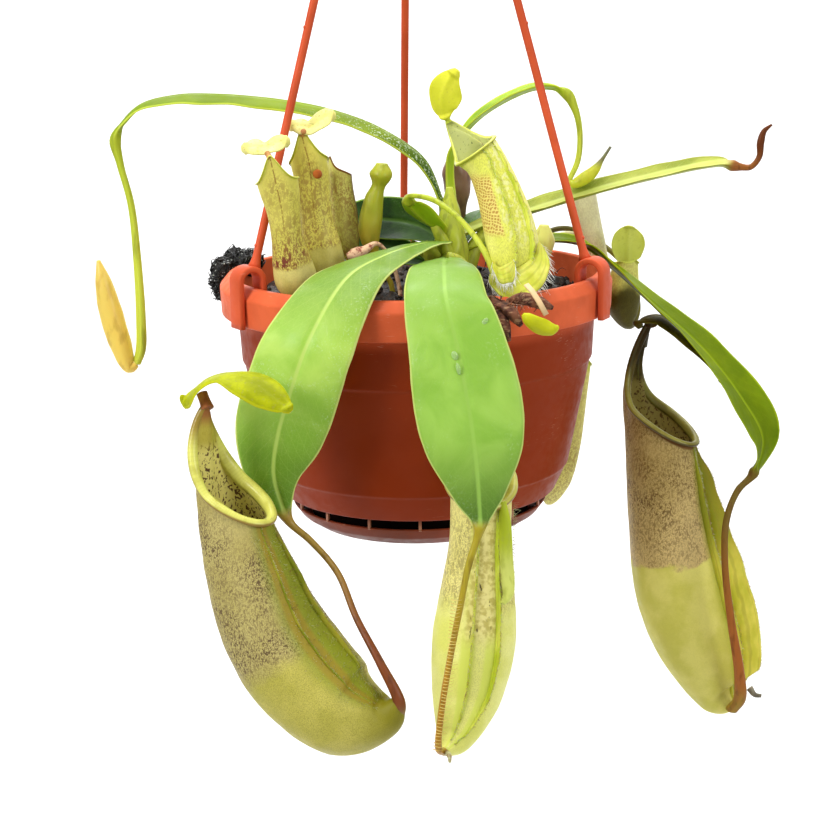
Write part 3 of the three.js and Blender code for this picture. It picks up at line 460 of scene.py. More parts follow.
for arm, degrees in ARM_ANGLES.items():
    out, side = facing(math.radians(degrees))
    strap = [out * (CLIP_MIDDLE - CLIP_REACH) + UP * z for z in np.linspace(-10, 2, 6)]
    for bend in np.radians(np.linspace(0, 180, 17)):
        strap.append(out * (CLIP_MIDDLE - CLIP_REACH * math.cos(bend))
                     + UP * (2.5 + CLIP_REACH * math.sin(bend)))
    strap += [out * (CLIP_MIDDLE + CLIP_REACH) + UP * z for z in np.linspace(2, -RIM_DROP, 8)]
    low = out * ARM_FOOT[0] + UP * ARM_FOOT[1]
    apex = np.array([HUB_SHIFT, 0, APEX_HEIGHT])
    high = low + (apex - low) * (ARM_END - ARM_FOOT[1]) / (APEX_HEIGHT - ARM_FOOT[1])
    steps = np.linspace(0, 1, ARM_STEPS)
    flare = [1 + 0.7 * max(0, 1 - t / 0.02) ** 2 for t in steps]
    hanger_shapes = [swept(strap, round_bar(4, CLIP_THICK / 2, 0.7), side),
                     swept([low + (high - low) * t for t in steps], circle(ARM_RADIUS, 20), side, flare)]
    nub_outline = [(0.8 * a, 0.8 * b) for a, b in round_bar(1, 1, 0.9)]
    for share in GATE_MARKS:
        centre = low + (high - low) * share + out * ARM_RADIUS * 0.8
        hanger_shapes.append(swept([centre + out * h for h in (-0.6, 0, 0.5, 0.7)], nub_outline, side,
                                   [1, 1, 0.75, 0.2]))
    finished(f"hanger_{arm}", hanger_shapes, hanger_plastic, "clay_plastic", f"hanger_arm_{arm}")

hub_profile = [(0, 224), (6.5, 224), (7.5, 225), (7.5, 231), (4.5, 234), (0, 234)]
hub = turned(softened(hub_profile, 0.6), 64)
hub.transform(Matrix.Translation((HUB_SHIFT / 1000, 0, 0)))
crook = [(0, z) for z in np.linspace(-36, -26, 5)] + [(0.6, -24.4), (3.5, -21.8), (7, -18.6), (10.5, -15.2),
                                                      (12.6, -12.4)]
for middle, start in ((3, 0), (-3, 90)):
    crook += [(middle + 10 * math.cos(bend), -8 + 10 * math.sin(bend))
              for bend in np.radians(np.linspace(start, start + 90, 10))]
crook += [(-13, -11), (-13, -14)]
crook_path = [(x + HUB_SHIFT, 0, z + HANG_HEIGHT) for x, z in crook]
finished("hanger_crook", [hub, swept(crook_path, round_bar(2.8, 2, 0.5), (0, 1, 0))], hanger_plastic,
         "clay_plastic", "hanger_hook")

# Soil
# Dark wet peat and bark that fills the pot to a centimetre below the rim.
# Loose crumbs and short fibres lie on its lumpy top.
SOIL_TOP = -9
SOIL_RADIUS = 64.3
SOIL_SIDES = 120
CRUMB_COUNT = 230
FIBRE_COUNT = 90

peat = shader("wet_peat", (34, 26, 20), 0.75)
peat_tree = peat.node_tree
coat(peat, "Base Color", over((16, 12, 10), (58, 42, 30), grain(peat_tree, 0.5, 5), 0.35, 0.7))
coat(peat, "Roughness", span(grain(peat_tree, 0.25, 3), 0.35, 0.7, 0.35, 0.95))
bumped(peat, grain(peat_tree, 0.8, 6), 0.7, 0.8)


def soil_height(x, y):
    """The height of the soil's lumpy top, which falls a little towards the pot's wall."""
    lump = 1.3 * math.sin(0.21 * x + 1) * math.cos(0.17 * y) + 0.8 * math.sin(0.5 * x + 0.37 * y)
    rough = noise.noise(Vector((x, y, 0)) * 0.25) * 1.6 + noise.noise(Vector((x, y, 3)) * 0.7) * 0.8
    fall = max(0, math.hypot(x, y) - 56) * 0.25
    return SOIL_TOP + 1.2 + lump + rough - fall


soil_rings = [[(x, y, -20) for x, y in circle(SOIL_RADIUS, SOIL_SIDES)]]
for radius in np.linspace(SOIL_RADIUS, 0.4, 56):
    soil_rings.append([(x, y, soil_height(x, y)) for x, y in circle(radius, SOIL_SIDES)])
finished("soil_bed", skin(soil_rings), peat, "soil", "soil")

chance = np.random.default_rng(7)


def ball(gap, rows, sides, point_at):
    """A closed skin through what point_at gives for directions all round. gap is left out at each pole."""
    rings = []
    for tilt in np.linspace(gap, math.pi - gap, rows):
        ways = [(math.sin(tilt) * math.cos(turn), math.sin(tilt) * math.sin(turn), math.cos(tilt))
                for turn in turns(sides)]
        rings.append([point_at(way) for way in ways])
    return skin(rings)


def crumb(centre, size, seed):
    """A crumb of bark: a rough ball squeezed unevenly."""
    squeeze = chance.uniform(0.55, 1.0, 3)

    def point_at(way):
        way = Vector(way)
        reach = size * (1 + 0.45 * noise.noise(way * 1.7 + Vector((seed, 0, 0))))
        return np.array(centre) + np.array(way) * reach * squeeze
    return ball(0.12, 6, 8, point_at)


def strand(path, radius, sides=5):
    """A thin fibre, hair or root that tapers to its tip."""
    path = np.asarray(path, float)
    upright = abs(path[-1][2] - path[0][2]) >= np.linalg.norm(path[-1] - path[0]) * 0.7
    return swept(path, circle(radius, sides), (1, 0.2, 0.1) if upright else (0.3, 0.5, 0.8),
                 np.linspace(1, 0.25, len(path)))


def scattered(reach):
    """A place at random on the soil, within reach of its middle."""
    angle, radius = chance.uniform(0, 2 * math.pi), reach * math.sqrt(chance.uniform(0, 1))
    return radius * math.cos(angle), radius * math.sin(angle)


crumbs = []
for k in range(CRUMB_COUNT):
    x, y = scattered(63)
    crumbs.append(crumb((x, y, soil_height(x, y) + 0.3), chance.uniform(0.7, 2.3), k))
for k in range(FIBRE_COUNT):
    x, y = scattered(60)
    way, reach = chance.uniform(0, 2 * math.pi), chance.uniform(3, 8)
    crumbs.append(strand([(x + math.cos(way + 0.5 * t) * reach * t, y + math.sin(way + 0.5 * t) * reach * t,
                           soil_height(x, y) + 0.8 + 2.2 * math.sin(2.6 * t))
                          for t in np.linspace(0, 1, 6)], 0.22, 4))
finished("soil_crumbs", crumbs, peat, "soil")

# Moss clump
# A wet black tuft of moss and fine roots that has grown over the rim beside the left clip.
# It shines with water, and small pale glints are painted into its colour.
MOSS_LUMPS = [(-74.6, 20, -11, 3.4), (-67, 22, -0.4, 5.6), (-73.6, 18.5, -2.4, 5.4), (-75.6, 25, -7.4, 4.4),
              (-64.5, 30, -1, 5), (-70, 27, 0.6, 4.8)]
MOSS_CURLS = 420
MOSS_SPROUTS = 26

moss = shader("wet_moss", (14, 13, 12), 0.32, 0.25)
moss_tree = moss.node_tree
moss_colour = over((3, 3, 3), (30, 25, 20), grain(moss_tree, 0.35, 4), 0.4, 0.7)
# Small pale spots painted into the moss's colour are painted glints.
coat(moss, "Base Color", over(moss_colour, (190, 196, 190), grain(moss_tree, 1.1, 3), 0.64, 0.67))
bumped(moss, grain(moss_tree, 1.2, 5), 0.8, 0.6)


def moss_lump(x, y, z, size, seed):
    """A rounded cushion of moss with a bumpy outside."""
    def point_at(way):
        way = Vector(way)
        wide_bumps = 0.92 + 0.22 * noise.noise(way * 2.2 + Vector((seed, 0, 0)))
        reach = size * (wide_bumps + 0.12 * noise.noise(way * 7))
        return x + way.x * reach, y + way.y * reach, z + way.z * reach
    return ball(0.05, 26, 36, point_at)


moss_parts = [moss_lump(*lump, seed) for seed, lump in enumerate(MOSS_LUMPS)]
for k in range(MOSS_CURLS):
    x, y, z, size = MOSS_LUMPS[k % len(MOSS_LUMPS)]
    way = chance.normal(size=3)
    way /= np.linalg.norm(way)
    curl = chance.normal(size=3) * 1.4
    start = np.array([x, y, z]) + way * size * 0.85
    around = np.cross(way, curl)
    reach = chance.uniform(0.5, 1.4)
    path = [start + way * reach * math.sin(2.6 * t) + around * (t - 0.5) * 1.6 + curl * t * t * 0.6
            for t in np.linspace(0, 1, 7)]
    moss_parts.append(strand(path, chance.uniform(0.25, 0.5), 5))
for k in range(MOSS_SPROUTS):
    x, y, z, size = MOSS_LUMPS[k % len(MOSS_LUMPS)]
    start = np.array([x + chance.uniform(-3, 5), y + chance.uniform(-3, 3), z + size * 0.7])
    lean = np.array([chance.uniform(-0.4, 0.8), chance.uniform(-0.5, 0.5), 1.0])
    reach = chance.uniform(1, 2.6)
    moss_parts.append(strand([start + lean * reach * t + np.array([1.5 * t * t, 0, 0])
                              for t in np.linspace(0, 1, 5)], 0.2, 4))
finished("moss_tuft", moss_parts, moss, "moss", "moss_clump")

# Leaves and their tendrils
# Smooth leathery blades that all grow from one short stem. Each midrib runs out past the tip as a tendril.
# The upper face is mid green with a lime midrib and faint side veins, and the edge is thin and pale.
COLUMNS = 25
STALK_HALF = 2.0
BLADE_HALF = 3.6


def flow(rows, places):
    """Points, ways ahead and sizes at places 0 to 1 along a smooth curve through rows of x, y, z, size."""
    rows = np.asarray(rows, float)
    padded = np.concatenate([[2 * rows[0] - rows[1]], rows, [2 * rows[-1] - rows[-2]]])
    out, ways, widths = [], [], []
    for place in places:
        at = min(max(place, 0), 1) * (len(rows) - 1)
        i = min(int(at), len(rows) - 2)
        t = at - i
        p0, p1, p2, p3 = padded[i:i + 4, :3]
        d0, d1, d2 = (max(np.linalg.norm(b - a), 1e-6) ** 0.5 for a, b in ((p0, p1), (p1, p2), (p2, p3)))
        m1 = ((p1 - p0) / d0 - (p2 - p0) / (d0 + d1) + (p2 - p1) / d1) * d1
        m2 = ((p2 - p1) / d1 - (p3 - p1) / (d1 + d2) + (p3 - p2) / d2) * d1
        c2, c3 = 3 * (p2 - p1) - 2 * m1 - m2, 2 * (p1 - p2) + m1 + m2
        out.append(p1 + m1 * t + c2 * t * t + c3 * t ** 3)
        ways.append(m1 + 2 * c2 * t + 3 * c3 * t * t)
        s0, s1, s2, s3 = padded[i:i + 4, 3]
        v1, v2 = (s2 - s0) / 2, (s3 - s1) / 2
        widths.append(s1 + v1 * t + (3 * (s2 - s1) - 2 * v1 - v2) * t * t
                      + (2 * (s1 - s2) + v1 + v2) * t ** 3)
    ways = np.array(ways)
    return np.array(out), ways / np.linalg.norm(ways, axis=1)[:, None], np.maximum(widths, 0.4)


def eased(low, high, value):
    """0 at low, 1 at high, and smooth between them."""
    t = np.clip((value - low) / (high - low), 0, 1)
    return t * t * (3 - 2 * t)


def leaf_mesh(rows, sides, fold=0.0, ripple=0.0, waves=3.0, curl=0.0, steps=130, groove=0.5, seed=0,
              thick=0.32):
    """A blade that narrows at either end to a round stalk. sides are ways across it, along its length."""
    places = np.linspace(0, 1, steps)
    points, ways, halves = flow(rows, places)
    sides = np.asarray(sides, float)
    across = np.linspace(-1, 1, COLUMNS)
    outer = np.abs(across)
    half_turn = np.radians(np.linspace(180, 0, COLUMNS))
    lengths = np.concatenate([[0], np.cumsum(np.linalg.norm(np.diff(points, axis=0), axis=1))])
    rings, facts = [], {"rib_mm": [], "edge_mm": [], "blade": [], "along_mm": []}
    for place, point, way, half, length in zip(places, points, ways, halves, lengths):
        at = place * (len(sides) - 1)
        low = min(int(at), len(sides) - 2)
        hint = sides[low] * (1 - (at - low)) + sides[low + 1] * (at - low)
        side = hint - way * np.dot(hint, way)
        side /= np.linalg.norm(side)
        up = np.cross(way, side)
        flat = float(eased(STALK_HALF, BLADE_HALF, half))
        wide = half * (1 + 0.02 * noise.noise(Vector((length * 0.12, seed, 0)))) * across
        wave = ripple * half * outer ** 3 * math.sin(2 * math.pi * waves * place + seed) * np.sign(across)
        fine = np.array([noise.noise(Vector((length * 0.09, w * 0.14, seed + 5))) for w in wide])
        lift = fold * half * across ** 2 - curl * half * outer ** 6 + wave + fine * 0.55 * outer
        body = thick * (1 - 0.55 * outer ** 4)
        trough = -groove * np.exp(-(wide / 0.9) ** 2)
        rib_under = 0.75 * np.exp(-(wide / 1.1) ** 2)
        spread = flat * wide + (1 - flat) * half * np.cos(half_turn)
        tops = flat * (lift + body + trough) + (1 - flat) * half * np.sin(half_turn)
        unders = flat * (lift - body - rib_under) - (1 - flat) * half * np.sin(half_turn)
        outline = [*zip(spread, tops), *zip(spread[::-1], unders[::-1])]
        rings.append([point + side * a + up * b for a, b in outline])
        from_rib = np.abs(np.concatenate([wide, wide[::-1]]))
        for fact, values in zip(facts.values(), (from_rib, half - from_rib, flat, length)):
            fact.append(np.broadcast_to(values, 2 * COLUMNS))
    around = np.concatenate([np.linspace(0, 1, COLUMNS), np.linspace(1, 2, COLUMNS), [2]])
    return skin(rings, places, around, facts=facts)


def minus(first, second):
    return reckoned("SUBTRACT", first, second)


def unsigned(value):
    return reckoned("ABSOLUTE", value)


def sine(value):
    return reckoned("SINE", value)


def darker(colour, share):
    """The same colour with each part multiplied."""
    return tuple(value * share for value in colour)


def fact(tree, name):
    """A named number that the mesh holds for each of its points."""
    return node(tree, "Attribute", {"attribute_name": name}).outputs["Fac"]


def skin_place(tree):
    """How far along and around a skin a point lies."""
    place = node(tree, "SeparateXYZ", {}, node(tree, "UVMap", {"uv_map": "skin"}).outputs[0])
    return place.outputs["X"], place.outputs["Y"]


def net(tree, scale):
    """Distance from the nearest line of a fine net of veins."""
    return node(tree, "TexVoronoi", {"feature": "DISTANCE_TO_EDGE"}, Vector=spot(tree),
                Scale=scale).outputs["Distance"]


def tissue(name, colour, roughness, gloss, glow=(1.0, 0.2, 0.1), weight=0.12, **sockets):
    """Living tissue, which lets some light through. glow is how far each colour of light spreads in it."""
    material = shader(name, colour, roughness, gloss, Subsurface_Weight=weight, Subsurface_Scale=0.003,
                      **sockets)
    material.node_tree.nodes["Principled BSDF"].inputs["Subsurface Radius"].default_value = glow
    return material


def leaf_finish(name, green, deep, rib, edge, tendril, speckle=0.0, under=(205, 214, 110), banding=0.0,
                shade=None, sheen=0.3, crown=None, speckle_mm=None):
    """Leaf green with a midrib, veins, a pale edge and an underside. tendril is its colours at tip and root.
    shade and crown are a low and a high height in mm, and the colour that the blade has past them. Both are
    painted shade: shade darkens the blade below its low height, and crown above its high height, near the
    stem."""
    material = tissue(name, green, 0.42, sheen, (0.6, 1.0, 0.1), Coat_Weight=0.05, Coat_Roughness=0.3)
    tree = material.node_tree
    along_skin, around = skin_place(tree)
    from_rib, from_edge, along = fact(tree, "rib_mm"), fact(tree, "edge_mm"), fact(tree, "along_mm")
    base = over(deep, green, grain(tree, 0.06, 4, twist=0.6), 0.35, 0.68)
    # Painted shade by height: the blade darkens low down, and at its top by the stem.
    if shade:
        base = over(base, shade[2], height_of(tree), shade[1], shade[0], 0.85)
    if crown:
        base = over(base, crown[2], height_of(tree), crown[0], crown[1], 0.9)
    vein = unsigned(sine(times(minus(along, times(from_rib, 1.5)), 0.55)))
    lengthways = unsigned(sine(times(from_rib, 1.3)))
    faint = plus(span(vein, 0.16, 0.0, 0, 0.16), span(lengthways, 0.12, 0.0, 0, 0.14))
    base = over(blended(faint, base, rib), rib, net(tree, 0.75), 0.06, 0.0, 0.13)
    if banding:
        base = over(base, (206, 216, 118), sine(times(from_rib, 1.15)), -0.2, 0.9, banding)
    if speckle:
        fleck = span(grain(tree, 1.3, 4), 0.54, 0.68)
        patch = span(grain(tree, 0.07, 2), 0.5, 0.66)
        if speckle_mm:
            patch = span(height_of(tree), *speckle_mm, 0, 0.9)
        base = blended(times(times(fleck, patch), speckle), base, (226, 240, 214))
    base = over(base, under, around, 0.99, 1.01, 0.72)
    base = over(base, rib, from_rib, 1.0, 0.275, 0.75)
    base = over(base, edge, from_edge, 0.75, 0.25, 0.85)
    stalk = over(tendril[0], tendril[1], along_skin, 0.84, 0.66)
    stalk = over(stalk, darker(tendril[0], 0.6), grain(tree, 0.5, 3, (1, 1, 0.15)), 0.5, 0.66, 0.45)
    coat(material, "Base Color", blended(fact(tree, "blade"), stalk, base))
    coat(material, "Roughness", span(grain(tree, 0.12, 3), 0.3, 0.7, 0.3, 0.55))
    bumped(material, plus(times(grain(tree, 0.7, 4), 0.5), times(faint, -1.2)), 0.35, 0.25)
    return material


BROWN = ((122, 62, 24), (170, 140, 60))
OCHRE = ((176, 128, 32), (168, 152, 32))
RUST = ((164, 96, 44), (112, 92, 36))
LIME_STALK = ((196, 204, 70), (172, 184, 50))
LEFT_TIP, CENTRE_TIP, RIGHT_TIP = (-8, -107, -129), (7, -99, -151), (121.3, -9, -173.5)
UPPER_TIP, LEFT_BUD_TIP, RIGHT_BUD_TIP = (28.4, -53, 2.2), (-103.4, -18, -30.5), (58, 12, 30.4)

front_finish = leaf_finish(
    "leaf_front", (178, 214, 92), (150, 194, 66), (190, 214, 106), (206, 220, 122), BROWN, 0.18,
    shade=(-64, -22, (88, 126, 20)), crown=(-18, 13, (96, 132, 26)))
centre_finish = leaf_finish(
    "leaf_centre", (156, 198, 80), (134, 180, 60), (150, 190, 80), (200, 216, 118), OCHRE, 0.12,
    shade=(-74, -34, (50, 82, 2)), crown=(-10, 8, (118, 158, 46)))
arch_finish = leaf_finish(
    "leaf_arch", (122, 144, 4), (104, 126, 2), (140, 160, 30), (190, 204, 70), LIME_STALK, 0.8,
    under=(134, 156, 16), shade=(36, 54, (32, 72, 12)), sheen=0.08, speckle_mm=(63, 50))
lime_finish = leaf_finish(
    "leaf_lime", (150, 180, 30), (112, 146, 22), (190, 204, 64), (192, 204, 60), LIME_STALK,
    under=(168, 192, 34), sheen=0.15)
banded_finish = leaf_finish(
    "leaf_banded", (164, 170, 72), (132, 142, 48), (204, 206, 116), (136, 140, 44),
    ((96, 48, 18), (140, 84, 36)), under=(156, 162, 60), banding=0.6, sheen=0.1)
# The olive leaf's underside is painted near-black green as painted shade under the drooping blade.
olive_finish = leaf_finish(
    "leaf_olive", (114, 132, 4), (94, 114, 2), (140, 160, 28), (160, 176, 30), RUST, under=(54, 64, 10),
    sheen=0.06)
# These middle leaves are painted dark green as painted shade among the other leaves.
shaded_leaf_finish = leaf_finish(
    "leaf_painted_shade", (54, 92, 26), (22, 52, 12), (82, 122, 36), (128, 160, 50), LIME_STALK, 0.12,
    under=(74, 112, 30))

leaves = {
    "leaf_front_left": dict(
        rows=[(11, -3, 10.6, 3), (3, -24, 13.2, 6), (-10, -46, 12.6, 10), (-24, -64.6, 7, 13),
              (-36.4, -75, -12, 15.6), (-43.6, -74.6, -31, 16.4), (-47.8, -74, -44, 15.8),
              (-50, -73.5, -58, 10.8), (-47.8, -73, -69, 4.4), (-45, -73.2, -76, 1.6),
              (-38, -75.5, -82, 1.2), (-28.5, -84, -91, 1.15), (-22, -94, -104, 1.2),
              (-14, -103, -117, 1.5), (*LEFT_TIP, 2.1), (-8.4, -105, -135, 2.6)],
        sides=[(0.9, -0.4, 0), (0.92, -0.36, 0), (1, -0.12, -0.05), (1, 0.1, 0), (1, 0.3, 0), (1, 0.5, 0)],
        fold=-0.1, ripple=0.05, curl=0.03, look=front_finish),
    "leaf_front_centre": dict(
        rows=[(13, -3, 5, 2.2), (11, -24, 7.6, 4.4), (10, -45, 9.6, 9.5), (9.6, -64, 9.6, 12.4),
              (10, -81, 2.4, 14.2), (13.5, -89, -13, 16.4), (16.5, -93.4, -30, 18), (18.6, -96.4, -46, 16),
              (19.7, -97.4, -62, 8.4), (19.7, -98, -72, 2), (16, -99.5, -84, 1.2), (12.6, -101, -100, 1.1),
              (9, -104, -117, 1.1), (6, -106.5, -134, 1.1), (5, -105, -147, 1.2), (*CENTRE_TIP, 1.4)],
        sides=[(1, 0, 0), (1, 0, 0)], fold=-0.08, ripple=0.04, curl=0.03, look=centre_finish),
    "leaf_arch_left": dict(
        rows=[(12, 3.4, 14, 2.2), (9.4, 4, 28, 3.6), (4, 3, 40, 6.2), (-8, -1, 50, 7.4), (-25, -4, 58, 8),
              (-44, -7.6, 63, 8.2), (-66, -12, 66, 8), (-85, -14, 66.4, 6.8), (-99.5, -15, 62.5, 4.8),
              (-107, -16, 52.6, 2.6), (-106, -16, 43, 1.4), (-102.6, -17, 28, 1.3), (-101.4, -17, 8, 1.5),
              (-101, -18, -13, 1.8), (-101.6, -18, -25, 1.9), (*LEFT_BUD_TIP, 1.5)],
        sides=[(-0.2, -1, 0), (-0.1, -1, -0.05), (0, -1, -0.1), (0, -1, 0), (0, -1, 0)], fold=-0.3,
        look=arch_finish),
    "leaf_arch_right": dict(
        rows=[(13.6, 6, 18, 2), (14, 14.6, 29, 3.2), (15, 17.6, 42, 4.6), (23, 17, 53, 5.2),
              (36, 16.6, 61.5, 5.4), (48, 15.6, 65.4, 4.6), (56.6, 14.4, 63.6, 2.6), (60.6, 14, 57, 1.4),
              (62.4, 14, 48, 1.1), (61.6, 13.6, 38, 1.1), (*RIGHT_BUD_TIP, 1)],
        sides=[(0.6, 0.8, 0), (-0.2, 1, 0), (-0.2, 1, 0), (0, 1, 0)], fold=0.3, look=lime_finish),
    "leaf_long_right": dict(
        rows=[(13, 3, 11, 2.4), (24, 7, 14, 4.4), (38, 9, 18, 6), (55, 9, 23, 6.4), (72, 7.6, 28, 6),
              (90, 5.6, 32.4, 5.6), (106, 3, 36, 4.8), (115, 1.4, 37, 3.2), (120.4, 0.6, 36, 1.5),
              (124.4, 0, 36, 1.1), (127.4, 0, 39.6, 1.1), (127.8, 0, 45, 1.4), (129, 0, 49, 1.0),
              (131.8, 0, 51.4, 0.4)],
        sides=[(-0.3, 1, 0.1), (-0.1, 1, 0.3), (0, 1, 0.1)], fold=0.38, look=banded_finish),
    "leaf_drooping_right": dict(
        rows=[(13, 2, 5, 2.4), (30, 8, 8.6, 4.2), (48, 16, 8, 6), (64, 20, 5.4, 7), (76, 17, -3.6, 7.6),
              (90, 10, -16, 8.6), (108.4, 4, -32.6, 10.2), (123, -1, -51.4, 12), (131, -3, -67, 9),
              (127.6, -4.6, -80, 2.2), (121, -8, -86, 1.3), (116, -14, -96, 1.3), (115, -19, -112, 1.3),
              (117.4, -21, -133, 1.5), (121.4, -19, -155, 2), (122.6, -14, -168, 2.6),
              (120.4, -10, -174, 2.6)],
        sides=[(-0.3, 1, 0), (-0.3, 1, 0.1), (0.2, 0.9, 0.4), (0.7, 0.4, 0.5), (1, 0, 0), (1, 0, 0)],
        fold=0.2, ripple=0.03, look=olive_finish),
    "leaf_lime_edged": dict(
        rows=[(11, -1, 14.5, 2), (5.5, -7, 18, 5), (1, -11.5, 22.5, 5.6), (-2, -15, 26.6, 3),
              (-1.6, -19, 29.4, 1.1), (5, -25, 29.4, 1), (11.6, -34, 26.6, 1), (18.6, -43.6, 20.8, 1),
              (24.4, -50.4, 12.6, 1.1), (*UPPER_TIP, 1.2)],
        sides=[(0.7, -0.7, 0.1), (0.8, -0.5, 0.2), (1, 0, 0), (1, 0, 0)], fold=0.25, look=lime_finish),
    "leaf_left_upper": dict(
        rows=[(11, 3, 10, 3), (1, 7, 15.6, 7.6), (-10, 10, 17.4, 8.8), (-22, 11, 17.4, 7),
              (-33, 11, 15, 1.6)],
        sides=[(-0.2, -0.6, -0.8), (0, -0.5, -0.86), (0, -0.6, -0.8)], fold=0.2, look=shaded_leaf_finish),
    "leaf_left_lower": dict(
        rows=[(10, 1, 2, 2.4), (-2, 2, 5, 6), (-14, 3.4, 7, 7.4), (-26, 5, 6.4, 6.4), (-37, 7, 3, 1.4)],
        sides=[(0, -0.8, -0.6), (0, -0.75, -0.66)], fold=0.15, look=shaded_leaf_finish),
    "leaf_back": dict(rows=[(14, 5, 4, 2.4), (18, 13, 10, 5.4), (23, 22, 15, 7.6), (27, 31, 18, 6),
                            (30, 39, 18, 1.4)],
                      sides=[(1, -0.3, 0.3), (1, -0.4, 0.5)], fold=-0.15, look=shaded_leaf_finish),
}
for seed, (leaf, shape) in enumerate(leaves.items()):
    look = shape.pop("look")
    finished(leaf + "_blade", leaf_mesh(seed=seed, **shape), look,
             "dark_leaf" if look == shaded_leaf_finish else "leaf", leaf)

# Crown
# The short woody-green stem in the middle, wrapped in the pale bases of the leaves.
crown_finish = leaf_finish(
    "crown_skin", (222, 238, 68), (180, 206, 50), (190, 206, 96), (200, 210, 110), LIME_STALK)
FAR_MM = 9.0
STALK_MM = 40


def stem(rows, sides=24, steps=60, uneven=0.0):
    """A round stalk, bud or stem through rows of x, y, z, radius. Its facts say that no blade is near."""
    places = np.linspace(0, 1, steps)
    side, rings = np.array([1, 0.3, 0.1]), []
    for point, way, radius in zip(*flow(rows, places)):
        side = side - way * np.dot(side, way)
        side /= np.linalg.norm(side)
        other = np.cross(way, side)
        ring = []
        for turn in turns(sides):
            out = side * math.cos(turn) + other * math.sin(turn)
            ring.append(point + out * radius * (1 + uneven * noise.noise(Vector(point * 0.2 + out * 1.5))))
        rings.append(ring)
    far = np.full((steps, sides), FAR_MM)
    return skin(rings, places, facts={"rib_mm": far, "edge_mm": far, "blade": np.zeros((steps, sides)),
                                      "along_mm": np.repeat(places[:, None] * STALK_MM, sides, 1)})


crown_rows = [(14, 1, -22, 5.5), (14, 1, -6, 6.5), (13.5, 1, 6, 6.2), (13, 2, 14, 5.4), (13, 3, 22, 3.6),
              (13, 4, 30, 1.2)]
crown_parts = [stem(crown_rows, 40, 60, 0.12)]
for start, end, wide in (((8, -4, -2), (4, -14, 11), 4.2), ((18, -5, -3), (12, -18, 7), 4.4),
                         ((7, 4, 0), (-2, 5, 9), 3.6), ((19, 4, 0), (26, 7, 13), 3.8),
                         ((13, 7, 2), (14, 12, 22), 3.4), ((12, -4, 4), (7, -6, 17), 3.2)):
    middle = (np.array(start, float) + end) / 2 + (0, 0, 1.5)
    crown_parts.append(stem([(*start, wide), (*middle, wide * 0.75), (*end, wide * 0.45)], 20, 24, 0.1))
finished("crown_stem", crown_parts, crown_finish, "lime_stem", "crown")

# Pitchers
# Hanging traps of thin leathery leaf: a curved body, a ribbed lip round the slanting mouth, a neck that
# carries the lid, and two wings with a fringe of hairs down the front. They are green below, and pale with
# purple-grey flecks above.
USUAL_TRAP = dict(steps=96, sides=72, cavity=0.4, wall=0.9, neck_power=5, squeeze=0, tip_from=0.5, pinch=0,
                  pinch_power=4.5, narrow=0, lean=0, lean_power=1, joint=1.5, wing_low=1, wing_turn=0,
                  wing_foot=0.05, wing_fade=0.22, waver=0.12, near=0.6, hairs=5, hair_mm=2.4, fuzz=0)
USUAL_LID = dict(ripple=0.05, waves=2, curl=0.1, steps=90, groove=0.25, thick=0.45)
LIP_SIDES = 600
WING_ANGLE = 17
WING_TOP = 0.99
TUFT_HAIRS = 10
LIT_BY = 14


def trap_frames(trap):
    """Place, point, way ahead, way forward, way sideways and radius for each ring of the body."""
    places = np.linspace(0, 1, trap.steps)
    forward = np.array(trap.front, float)
    frames = []
    for place, point, way, radius in [*zip(places, *flow(trap.path, places))][::-1]:
        forward = forward - way * np.dot(forward, way)
        forward /= np.linalg.norm(forward)
        frames.append((place, point, way, forward.copy(), np.cross(way, forward), radius))
    return frames[::-1]


def trap_ring(trap, frame, angles, swell=0.0, lift=0.0):
    """Points round the trap at one place along it. Towards the mouth the ring slants, rises at the back and
    narrows. Angle 0 is the front."""
    place, point, way, forward, side, radius = frame
    mouth_radius = trap.path[-1][3]
    opening = float(eased(0.5, 1, place))
    tip = float(eased(trap.tip_from, 1, place))
    back = np.maximum(0, -np.cos(angles))
    peak = back ** trap.neck_power
    rise = (-trap.dip * np.cos(angles) + trap.neck * peak) * mouth_radius * opening
    squeeze = 1 - trap.squeeze * back ** 2 * opening * (np.sin(angles) > 0)
    reach = radius * (1 - trap.pinch * back ** trap.pinch_power * tip) + swell
    narrow = 1 - trap.narrow * opening
    ahead = reach * np.cos(angles) + trap.lean * mouth_radius * peak ** trap.lean_power * tip
    ripple = 1 + 0.010 * np.sin(7 * angles + place * 5) * min(1, place * 6) * (1 - opening)
    across = reach * narrow * squeeze * ripple * np.sin(angles)
    ahead = point + forward * (ahead * ripple)[:, None]
    return ahead + side * across[:, None] + way * (rise + lift)[:, None]


def trap_body(trap, frames):
    """The thin wall outside and inside, down to the floor of the cavity, with shallow dents outside."""
    angles = turns(trap.sides)
    within = [frame for frame in frames[::-1] if frame[0] > trap.cavity]
    rings = np.array([trap_ring(trap, frame, angles) for frame in frames]
                     + [trap_ring(trap, frame, angles, -trap.wall) for frame in within])
    for ring, frame in zip(rings, frames):
        for k in range(trap.sides):
            ring[k] += (ring[k] - frame[1]) * 0.012 * noise.noise(Vector(ring[k] * 0.16))
    inside = np.repeat([0.0] * len(frames) + [1.0] * len(within), trap.sides)
    return skin(rings, [frame[0] for frame in frames + within], facts={"inside": inside})


LIP_SECTION = [(-1.0, -1.7), (-1.05, -0.9), (-0.85, -0.1), (-0.4, 0.45), (0.2, 0.62), (0.8, 0.45),
               (1.15, 0), (1.2, -0.45), (1.0, -0.78), (0.75, -0.7), (0.72, -0.35), (0.5, -0.05),
               (0.1, 0.12), (-0.35, 0), (-0.6, -0.5), (-0.72, -1.6)]


